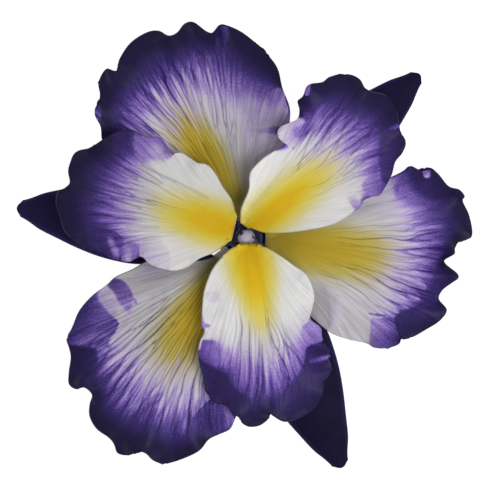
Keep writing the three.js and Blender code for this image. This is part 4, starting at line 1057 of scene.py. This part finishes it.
# %% [markdown]
# The receptacle is the short knob that every petal grows from. It is a turned outline, so a profile
# carried round the axis makes it, with the outline smoothed through its points.

# %% Make the receptacle
ROUND_STEPS = 96
OUTLINE_STEPS = 72
FLUTES = 10
FLUTE_DEEP = 0.12
NECK_RADIUS = 4


def receptacle_piece():
    """Radius and height from the outline's curve, turned round the axis, with shallow flutes where the
    claws and sepals join it, FLUTE_DEEP mm either way where the radius is NECK_RADIUS."""
    closed = np.array([[0, 0], *RECEPTACLE_OUTLINE, [0, RECEPTACLE_HIGH]])
    place = np.linspace(0, len(closed) - 1, OUTLINE_STEPS)
    straight = np.clip(place, 0, 1)[:, None] * closed[1]
    outline = np.where(place[:, None] < 1, straight, through(closed[1:], np.maximum(place - 1, 0)))
    turn = np.linspace(0, 2 * np.pi, ROUND_STEPS, endpoint=False)
    flutes = 1 - FLUTE_DEEP * np.cos(FLUTES * turn) * np.clip(outline[1:-1, 1:] / 6, 0, 1) / NECK_RADIUS
    radius = outline[1:-1, :1] * flutes
    height = np.repeat(outline[1:-1, 1:], ROUND_STEPS, 1)
    ring = np.dstack([radius * np.cos(turn), radius * np.sin(turn), height])
    points = np.concatenate([ring.reshape(-1, 3), [[0, 0, 0]], [[0, 0, RECEPTACLE_HIGH]]])
    number = np.arange(ring.shape[0] * ROUND_STEPS).reshape(-1, ROUND_STEPS)
    beside = np.roll(number, -1, axis=1)
    sides = np.stack([number[:-1], beside[:-1], beside[1:], number[1:]], -1).reshape(-1, 4)
    return points, sides, number, beside


def make_receptacle():
    """The receptacle's mesh, its sides closed below and above with triangles to the axis."""
    points, sides, number, beside = receptacle_piece()
    low, high = len(points) - 2, len(points) - 1
    mesh = bpy.data.meshes.new("receptacle_fine")
    floor = [(low, b, a) for a, b in zip(number[0].tolist(), beside[0].tolist())]
    top = [(high, a, b) for a, b in zip(number[-1].tolist(), beside[-1].tolist())]
    mesh.from_pydata((points * MM).tolist(), [], sides.tolist() + floor + top)
    mesh.polygons.foreach_set("use_smooth", np.ones(len(mesh.polygons), bool))
    piece = bpy.data.objects.new("receptacle_fine", mesh)
    bpy.context.scene.collection.objects.link(piece)
    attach(piece, "root")
    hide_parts("receptacle")
    print("receptacle faces:", len(mesh.polygons))
    return piece


receptacle = make_receptacle()

# %% [markdown]
# Colours are written as a picture editor shows them, in hex, and turned to the linear numbers that the
# renderer works in. One function adds a node, sets it and links it, and every material is written
# with it.

# %% Colours and nodes
A, B = 6, 7  # the two colour sockets of a Mix node
COLOURS = dict(data_type="RGBA", take=2)  # makes a Mix node mix colours, and takes its colour output


def linear(hex_colour):
    """Linear RGBA of an sRGB hex colour: each channel c becomes c / 12.92, or ((c + 0.055) / 1.055)^2.4."""
    channels = [int(hex_colour[k:k + 2], 16) / 255 for k in (1, 3, 5)]
    return (*[c / 12.92 if c <= 0.04045 else ((c + 0.055) / 1.055) ** 2.4 for c in channels], 1)


def add(tree, kind, sockets=(), stops=(), take=0, **settings):
    """Adds a node and gives one of its outputs, the one that take names. Settings go on the node. Each
    socket gets a value or a link from another node's output: sockets are named, or listed from the
    first. stops are the places and colours of a colour ramp."""
    made = tree.nodes.new("ShaderNode" + kind)
    for name, value in settings.items():
        setattr(made, name, value)
    for name, value in (sockets if isinstance(sockets, dict) else dict(enumerate(sockets))).items():
        if isinstance(value, bpy.types.NodeSocket):
            tree.links.new(value, made.inputs[name])
        else:
            made.inputs[name].default_value = value
    for k, (place, colour) in enumerate(stops):
        elements = made.color_ramp.elements
        element = elements[k] if k < 2 else elements.new(place)
        element.position = place
        element.color = linear(colour)
    return made.outputs[take] if made.outputs else None


def blank(name):
    """A new material and its tree, emptied of the nodes that it comes with."""
    material = bpy.data.materials.new(name)
    material.use_nodes = True
    tree = material.node_tree
    tree.nodes.clear()
    return material, tree


print("indigo #1c1733 is, in linear numbers,", [round(c, 4) for c in linear("#1c1733")])

# %% [markdown]
# Petal tissue, dusted with colour. The blade is a satin off-white. Yellow is dusted out of the throat,
# and violet and then indigo in from the rim, with a dry brush along the veins, so their borders are
# drawn out into streaks. Dust lies thickest in the grooves. The back whorl has the same colours painted
# darker and greyer, as painted shade where it lies under the front whorl. The places in gold and dust run
# from the middle of the yellow outwards, and from the rim inwards.

# %% The tones of the two whorls
FRONT_TONES = dict(
    ground="#cac9c8",
    gold=[(0, "#c6a018"), (0.2, "#c5ac28"), (0.4, "#c4b34e"), (0.65, "#c3bb85"), (1, "#c6c4b8")],
    dust=[(0, "#1c1733"), (0.25, "#221b40"), (0.44, "#362962"), (0.54, "#513d86"), (0.65, "#735aa4"),
          (0.75, "#8a73b4"), (0.875, "#a392bd"), (1, "#b1a9be")],
    vein="#6b5796", streaks=0.7, stripes=(0.9, 1.08), lines=1.4,
)
# Ground, yellow and veins darker and greyer than the front's: painted shade under the front whorl
BACK_TONES = dict(
    ground="#b4b1b6",
    gold=[(0, "#a88f28"), (0.2, "#a89232"), (0.4, "#a99a48"), (0.65, "#aea578"), (1, "#b3afa8")],
    dust=[(0, "#1c1733"), (0.25, "#201a3c"), (0.44, "#332760"), (0.54, "#4c3a80"), (0.65, "#715aa2"),
          (0.75, "#8d77b6"), (0.875, "#a696c0"), (1, "#b3a8c1")],
    vein="#5a477f", streaks=1.0, stripes=(0.86, 1.12), lines=1.7,
)
print("tones of the dust:", len(FRONT_TONES["dust"]), "and of the yellow:", len(FRONT_TONES["gold"]))

# %% [markdown]
# Dust is laid on with a dry brush, and its hairs leave streaks along the veins. Two stretched noises on
# the fan's own coordinates give them, so they follow the veins round. Real grains of dust are finer than
# these, but would not show. Clouds make a vein stand out here and fade there.


# %% How the brush strays
STREAKS = (1.1, 0.07, 1)
FINE_STREAKS = (2.4, 0.1, 1)


def brush_marks(tree, tones):
    """What each point of the mesh tells, with the noises, and ragged, how far the brush strays there:
    2.3 (streak - 0.5) + 1.6 (fine - 0.5), times the whorl's streaks, and less off the veins."""
    names = (*SHOWN, "dusting", "edge")
    marks = {name: add(tree, "Attribute", take="Fac", attribute_name=name) for name in names}
    fan_uv = add(tree, "UVMap", uv_map="fan")
    wide = add(tree, "Mapping", {"Vector": fan_uv, "Scale": STREAKS})
    narrow = add(tree, "Mapping", {"Vector": fan_uv, "Scale": FINE_STREAKS})
    streak = add(tree, "TexNoise", {"Vector": wide, "Scale": 1, "Detail": 3, "Roughness": 0.6})
    fine = add(tree, "TexNoise", {"Vector": narrow, "Scale": 1, "Detail": 2, "Roughness": 0.5})

    # Grains are 0.35 mm wide, and clouds 6 mm
    place = add(tree, "TexCoord", take="Object")
    grain = add(tree, "TexNoise", {"Vector": place, "Scale": 2800, "Detail": 2})
    cloud = add(tree, "TexNoise", {"Vector": place, "Scale": 160, "Detail": 3})

    ragged = add(tree, "Math", (fine, 1.6, -1.95), operation="MULTIPLY_ADD")
    ragged = add(tree, "Math", (streak, 2.3, ragged), operation="MULTIPLY_ADD")
    brush = add(tree, "MapRange", (marks["combed"], 0, 1, 0.35 * tones["streaks"], tones["streaks"]))
    ragged = add(tree, "Math", (ragged, brush), operation="MULTIPLY")
    return marks | dict(streak=streak, fine=fine, grain=grain, cloud=cloud, ragged=ragged)


for title, scale in ("streaks", STREAKS), ("fine streaks", FINE_STREAKS):
    print(title, "in mm, across and along:", [round(1 / share, 1) for share in scale[:2]])

# %% [markdown]
# The blade is a pale tissue with a light and a dark stripe for each streak. The yellow lies over it, and
# thins out to nothing at its border, where the brush ran dry.


# %% The pale ground and the yellow
def yellow_dusted(tree, tones, marks):
    """Colour of the ground and the yellow. The border of the yellow strays by 0.3 ragged and by the
    grain, and marks keeps gold as it is then."""
    tone = add(tree, "Math", (add(tree, "MapRange", (marks["streak"], 0.3, 0.7, *tones["stripes"])), -0.15))
    tone = add(tree, "Math", (marks["fine"], 0.3, tone), operation="MULTIPLY_ADD")
    pale = add(tree, "Mix", {0: 1, A: linear(tones["ground"]), B: tone}, blend_type="MULTIPLY", **COLOURS)
    gold = add(tree, "Math", (marks["ragged"], 0.3, marks["gold"]), operation="MULTIPLY_ADD")
    gold = add(tree, "Math", (gold, -0.125))
    marks["gold"] = gold = add(tree, "Math", (marks["grain"], 0.25, gold), operation="MULTIPLY_ADD")
    yellow = add(tree, "ValToRGB", [add(tree, "MapRange", (gold, 0.3, 1.3))], tones["gold"])
    cover = add(tree, "MapRange", (gold, 1.35, 0.85))
    return add(tree, "Mix", {0: cover, A: pale, B: yellow}, **COLOURS)


print("the yellow runs from", FRONT_TONES["gold"][0][1], "to", FRONT_TONES["gold"][-1][1])

# %% [markdown]
# Violet comes in from the rim, and indigo over it. The darker the dust, the more evenly it lies, so its
# border strays less there. It reaches further in where it has run into the troughs of the veins.


# %% Violet and indigo
def violet_dusted(tree, tones, marks, base):
    """Colour with the violet and indigo over it. Their border strays by loose times (0.88 ragged - 0.36
    trough), and by the grain, and marks keeps dusting as it is then."""
    loose = add(tree, "MapRange", (marks["dusting"], -0.25, 0.45, 0.08, 1))
    strays = add(tree, "Math", (marks["trough"], -0.36), operation="MULTIPLY")
    strays = add(tree, "Math", (marks["ragged"], 0.88, strays), operation="MULTIPLY_ADD")
    speckled = add(tree, "Math", (marks["grain"], 0.7, -0.28), operation="MULTIPLY_ADD")
    speckled = add(tree, "Math", (marks["dusting"], speckled))
    marks["dusting"] = dusting = add(tree, "Math", (strays, loose, speckled), operation="MULTIPLY_ADD")
    violet = add(tree, "ValToRGB", [add(tree, "MapRange", (dusting, -1, 1))], tones["dust"])
    cover = add(tree, "MapRange", (dusting, 1.75, 0.6), interpolation_type="SMOOTHSTEP")
    return add(tree, "Mix", {0: cover, A: base, B: violet}, **COLOURS)


print("the dust runs from", FRONT_TONES["dust"][0][1], "to", FRONT_TONES["dust"][-1][1])

# %% [markdown]
# The veins are darker lines, most where a cloud of dust has filled them, and less in the yellow and the
# indigo. The thin edge carries a painted highlight, pale lavender in clouds along it, and is darkest under
# the indigo.


# %% Veins and the thin edge
def lined(tree, tones, marks, base):
    """Colour with the lines of the veins and the edge laid over it, each cover stretched from one range
    of a mark to another."""
    cloud, gold, dusting = (marks[key] for key in ("cloud", "gold", "dusting"))
    lines = add(tree, "Math", (marks["fine_vein"], FINE_SHARE), operation="MULTIPLY")
    lines = add(tree, "Math", (marks["vein"], lines), operation="MAXIMUM")
    filled = (cloud, 0.35, 0.6, 0.6 * tones["lines"], tones["lines"])
    for change in (filled, (gold, 0.4, 1, 0.5, 1), (dusting, -0.35, 0.15, 0.1, 1)):
        lines = add(tree, "Math", (lines, add(tree, "MapRange", change)), operation="MULTIPLY")
    lines = add(tree, "Math", (lines, 0.9), operation="MINIMUM")
    base = add(tree, "Mix", {0: lines, A: base, B: linear(tones["vein"])}, blend_type="MULTIPLY", **COLOURS)

    # The pale lavender on the edge is a painted highlight where the thin edge catches the light
    edge_highlight, inked = (cloud, 0.56, 0.66, 0, 0.25), (dusting, 0.2, -0.2, 0, 0.6)
    for change, colour in ((edge_highlight, "#a79bc8"), (inked, "#08060f")):
        cover = add(tree, "Math", (marks["edge"], add(tree, "MapRange", change)), operation="MULTIPLY")
        base = add(tree, "Mix", {0: cover, A: base, B: linear(colour)}, **COLOURS)
    return base


print("veins:", FRONT_TONES["vein"], "in front and", BACK_TONES["vein"], "behind")

# %% [markdown]
# Now the layers go on in the order in which such a petal is coloured, and the petal's painted light
# and shade last.
# Tissue reflects little, about as paper does, and the dusted rim is a shade glossier than the bare blade.
# The streaks and grains also stand out a little, 0.25 mm at most, which bump shows well enough.


# %% Petal tissue
def petal_tissue(name, tones):
    """The material of one whorl from its tones: its colours, its stripes, how far its brush strays and
    how dark its lines are."""
    material, tree = blank(name)
    marks = brush_marks(tree, tones)
    base = yellow_dusted(tree, tones, marks)
    base = violet_dusted(tree, tones, marks, base)
    base = lined(tree, tones, marks, base)
    # The shade attribute multiplies the colour: painted light and shade
    base = add(tree, "Mix", {0: 1, A: base, B: marks["shade"]}, blend_type="MULTIPLY", **COLOURS)
    relief = add(tree, "Math", (marks["fine"], 0.5), operation="MULTIPLY")
    relief = add(tree, "Math", (marks["grain"], -0.25, relief), operation="MULTIPLY_ADD")
    skin = add(tree, "BsdfPrincipled", {
        "Base Color": base, "Roughness": add(tree, "MapRange", (marks["dusting"], 0.3, -0.3, 0.58, 0.42)),
        "Normal": add(tree, "Bump", {"Height": relief, "Strength": 0.5, "Distance": 0.25 * MM}),
        "IOR": 1.42, "Specular IOR Level": 0.1})
    add(tree, "OutputMaterial", {"Surface": skin})
    return material


tissues = {
    "front": petal_tissue("front petal tissue dusted", FRONT_TONES),
    "back": petal_tissue("back petal tissue dusted", BACK_TONES),
}
for name, piece in petals.items():
    whorl = name.split("_")[1]
    piece.data.materials.append(tissues[whorl])
print("petal tissues:", [len(tissue.node_tree.nodes) for tissue in tissues.values()], "nodes")

# %% [markdown]
# Sepal tissue is dyed right through, near-black indigo, smooth and almost matt, with its rim a shade
# lighter. A plain dark colour would look like a hole beside the petals, so the dye is a little cloudy.


# %% Sepal tissue
def sepal_tissue():
    """Clouds of 8 mm in the dye, and a grain of 0.4 mm in the relief."""
    material, tree = blank("sepal tissue dyed indigo")
    place = add(tree, "TexCoord", take="Object")
    cloud = add(tree, "TexNoise", {"Vector": place, "Scale": 130, "Detail": 4})
    grain = add(tree, "TexNoise", {"Vector": place, "Scale": 2500, "Detail": 2})
    inwards, depth = (add(tree, "Attribute", take="Fac", attribute_name=key) for key in ("inwards", "dye_and_shading"))
    dye_and_shading = add(tree, "ValToRGB", [cloud], [(0.3, "#14112a"), (0.7, "#1a1634")])
    rim = add(tree, "MapRange", (inwards, 1.2, 0, 0, 0.25))
    dye_and_shading = add(tree, "Mix", {0: rim, A: dye_and_shading, B: linear("#40356c")}, **COLOURS)
    # Each sepal's own value scales its colour: painted light and shade
    dye_and_shading = add(tree, "Mix", {0: 1, A: dye_and_shading, B: depth}, blend_type="MULTIPLY", **COLOURS)
    bump = add(tree, "Bump", {"Height": grain, "Strength": 0.3, "Distance": 0.2 * MM})
    skin = add(tree, "BsdfPrincipled", {"Base Color": dye_and_shading, "Roughness": 0.5, "Normal": bump,
                                        "IOR": 1.42, "Specular IOR Level": 0.03})
    add(tree, "OutputMaterial", {"Surface": skin})
    return material


dyed = sepal_tissue()
for piece in sepals.values():
    piece.data.materials.append(dyed)
print("sepals dyed:", len(sepals))

# %% [markdown]
# The receptacle's sides are near-black indigo, painted shade deep between the claws, except its pale top,
# which shows between the throats, and its greener foot. The marks on its top are spots of colour round
# points of it, with ragged edges.


# %% Receptacle tissue
def receptacle_tissue():
    """Tones by height, then spots round points in mm, each with its radius, that ragged clouds of 1.4 mm
    fray, and a bump of 0.4 mm from the same clouds."""
    material, tree = blank("receptacle tissue")
    place = add(tree, "TexCoord", take="Object")
    height = add(tree, "SeparateXYZ", [place], take="Z")
    rising = add(tree, "MapRange", (height, 1 * MM, 14.5 * MM))
    cloud = add(tree, "TexNoise", {"Vector": place, "Scale": 700, "Detail": 4})
    # Near-black indigo above the greener foot: painted shade deep between the claws
    tone = add(tree, "ValToRGB", [rising], [(0, "#6f7f52"), (0.35, "#2b2647"), (0.9, "#1a1633")])
    for middle, radius, colour in (
        ((1.8, 2.4, 13.4), 1.7, "#46587a"),
        ((0, 0.1, 14.9), 2.8, "#a39eab"),
        ((3.2, -0.6, 11.4), 0.5, "#9d93a4"),
        ((-1.6, 1.6, 14.2), 0.7, "#241e40"),
        ((1.9, 0.2, 14), 0.4, "#241e40"),
    ):
        away = add(tree, "VectorMath", (place, [c * MM for c in middle]), take="Value", operation="DISTANCE")
        away = add(tree, "Math", (cloud, 2.4 * MM, away), operation="MULTIPLY_ADD")
        cover = add(tree, "MapRange", (away, (radius + 1.4) * MM, (radius + 1.1) * MM))
        tone = add(tree, "Mix", {0: cover, A: tone, B: linear(colour)}, **COLOURS)
    bump = add(tree, "Bump", {"Height": cloud, "Strength": 0.5, "Distance": 0.4 * MM})
    skin = add(tree, "BsdfPrincipled", {"Base Color": tone, "Roughness": 0.6, "Normal": bump, "IOR": 1.42})
    add(tree, "OutputMaterial", {"Surface": skin})
    return material


receptacle.data.materials.append(receptacle_tissue())
print("receptacle material:", receptacle.data.materials[0].name)

# %% [markdown]
# The photograph looks straight down on the bloom, with its top petal up, so the camera hangs over it
# on a long lens. 3.5 pixels make a millimetre, and the flower's axis lies at pixel 246, 238 of 500.

# %% Camera
PIXELS = 500
PIXELS_PER_MM = 3.5
AXIS_PIXEL = (246, 238)
CAMERA_HIGH = 2.5
PETAL_HIGH = 0.018
SENSOR = 36

camera = bpy.data.objects.new("camera", bpy.data.cameras.new("camera"))
bpy.context.scene.collection.objects.link(camera)
view_width = PIXELS / PIXELS_PER_MM * MM
camera.data.sensor_width = SENSOR
camera.data.lens = SENSOR * (CAMERA_HIGH - PETAL_HIGH) / view_width
camera.data.clip_end = 10
camera.location = (
    (PIXELS / 2 - AXIS_PIXEL[0]) / PIXELS_PER_MM * MM,
    (AXIS_PIXEL[1] - PIXELS / 2) / PIXELS_PER_MM * MM,
    CAMERA_HIGH,
)
bpy.context.scene.camera = camera
print("camera lens in mm:", round(camera.data.lens))

# %% [markdown]
# The photograph's ground is white, with no shadow on it. A white world could show that too, but it would
# light the flower from below, so there is a pale floor that glows by itself.

# %% Floor
FLOOR_HALF = 6.0
corners = [(x * FLOOR_HALF, y * FLOOR_HALF, 0) for x, y in ((-1, -1), (1, -1), (1, 1), (-1, 1))]
floor_mesh = bpy.data.meshes.new("floor")
floor_mesh.from_pydata(corners, [], [(0, 1, 2, 3)])
floor = bpy.data.objects.new("floor", floor_mesh)
bpy.context.scene.collection.objects.link(floor)
floor_paint, floor_tree = blank("pale floor")
floor_skin = add(floor_tree, "BsdfPrincipled", {
    "Base Color": linear("#6a6a6a"), "Roughness": 0.9, "Emission Color": linear("#ffffff"),
    "Emission Strength": 0.95})
add(floor_tree, "OutputMaterial", {"Surface": floor_skin})
floor_mesh.materials.append(floor_paint)
floor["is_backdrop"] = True
print("floor in m:", 2 * FLOOR_HALF, "square")

# %% [markdown]
# Soft light comes from above, a little from the lower right of the picture, as the shaded sides of the
# folds show. Large area lights keep the shadows soft, and a grey-white sky fills them.


# %% Light
def soft_light(name, place, size, power):
    """A square light of a size in metres and a power in watts that faces the flower."""
    light = bpy.data.objects.new(name, bpy.data.lights.new(name, "AREA"))
    light.data.size = size
    light.data.energy = power
    light.location = place
    direction = light.location.copy()
    light.rotation_euler = direction.to_track_quat("Z", "Y").to_euler()
    light.visible_camera = False
    bpy.context.scene.collection.objects.link(light)


soft_light("window light", (0.32, -0.22, 0.86), 0.5, 6.9)
soft_light("fill light", (-0.35, 0.45, 0.85), 0.8, 2.4)
world = bpy.data.worlds.new("studio")
world.use_nodes = True
world.node_tree.nodes["Background"].inputs["Color"].default_value = (1, 1, 1, 1)
world.node_tree.nodes["Background"].inputs["Strength"].default_value = 0.32
bpy.context.scene.world = world
bpy.context.scene.view_settings.view_transform = "Standard"

# %% [markdown]
# Last, the size of the finished flower is printed, in mm.

# %% The flower's size
low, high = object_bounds()
print("visual box in mm:", [round(1000 * (b - a), 1) for a, b in zip(low, high)])
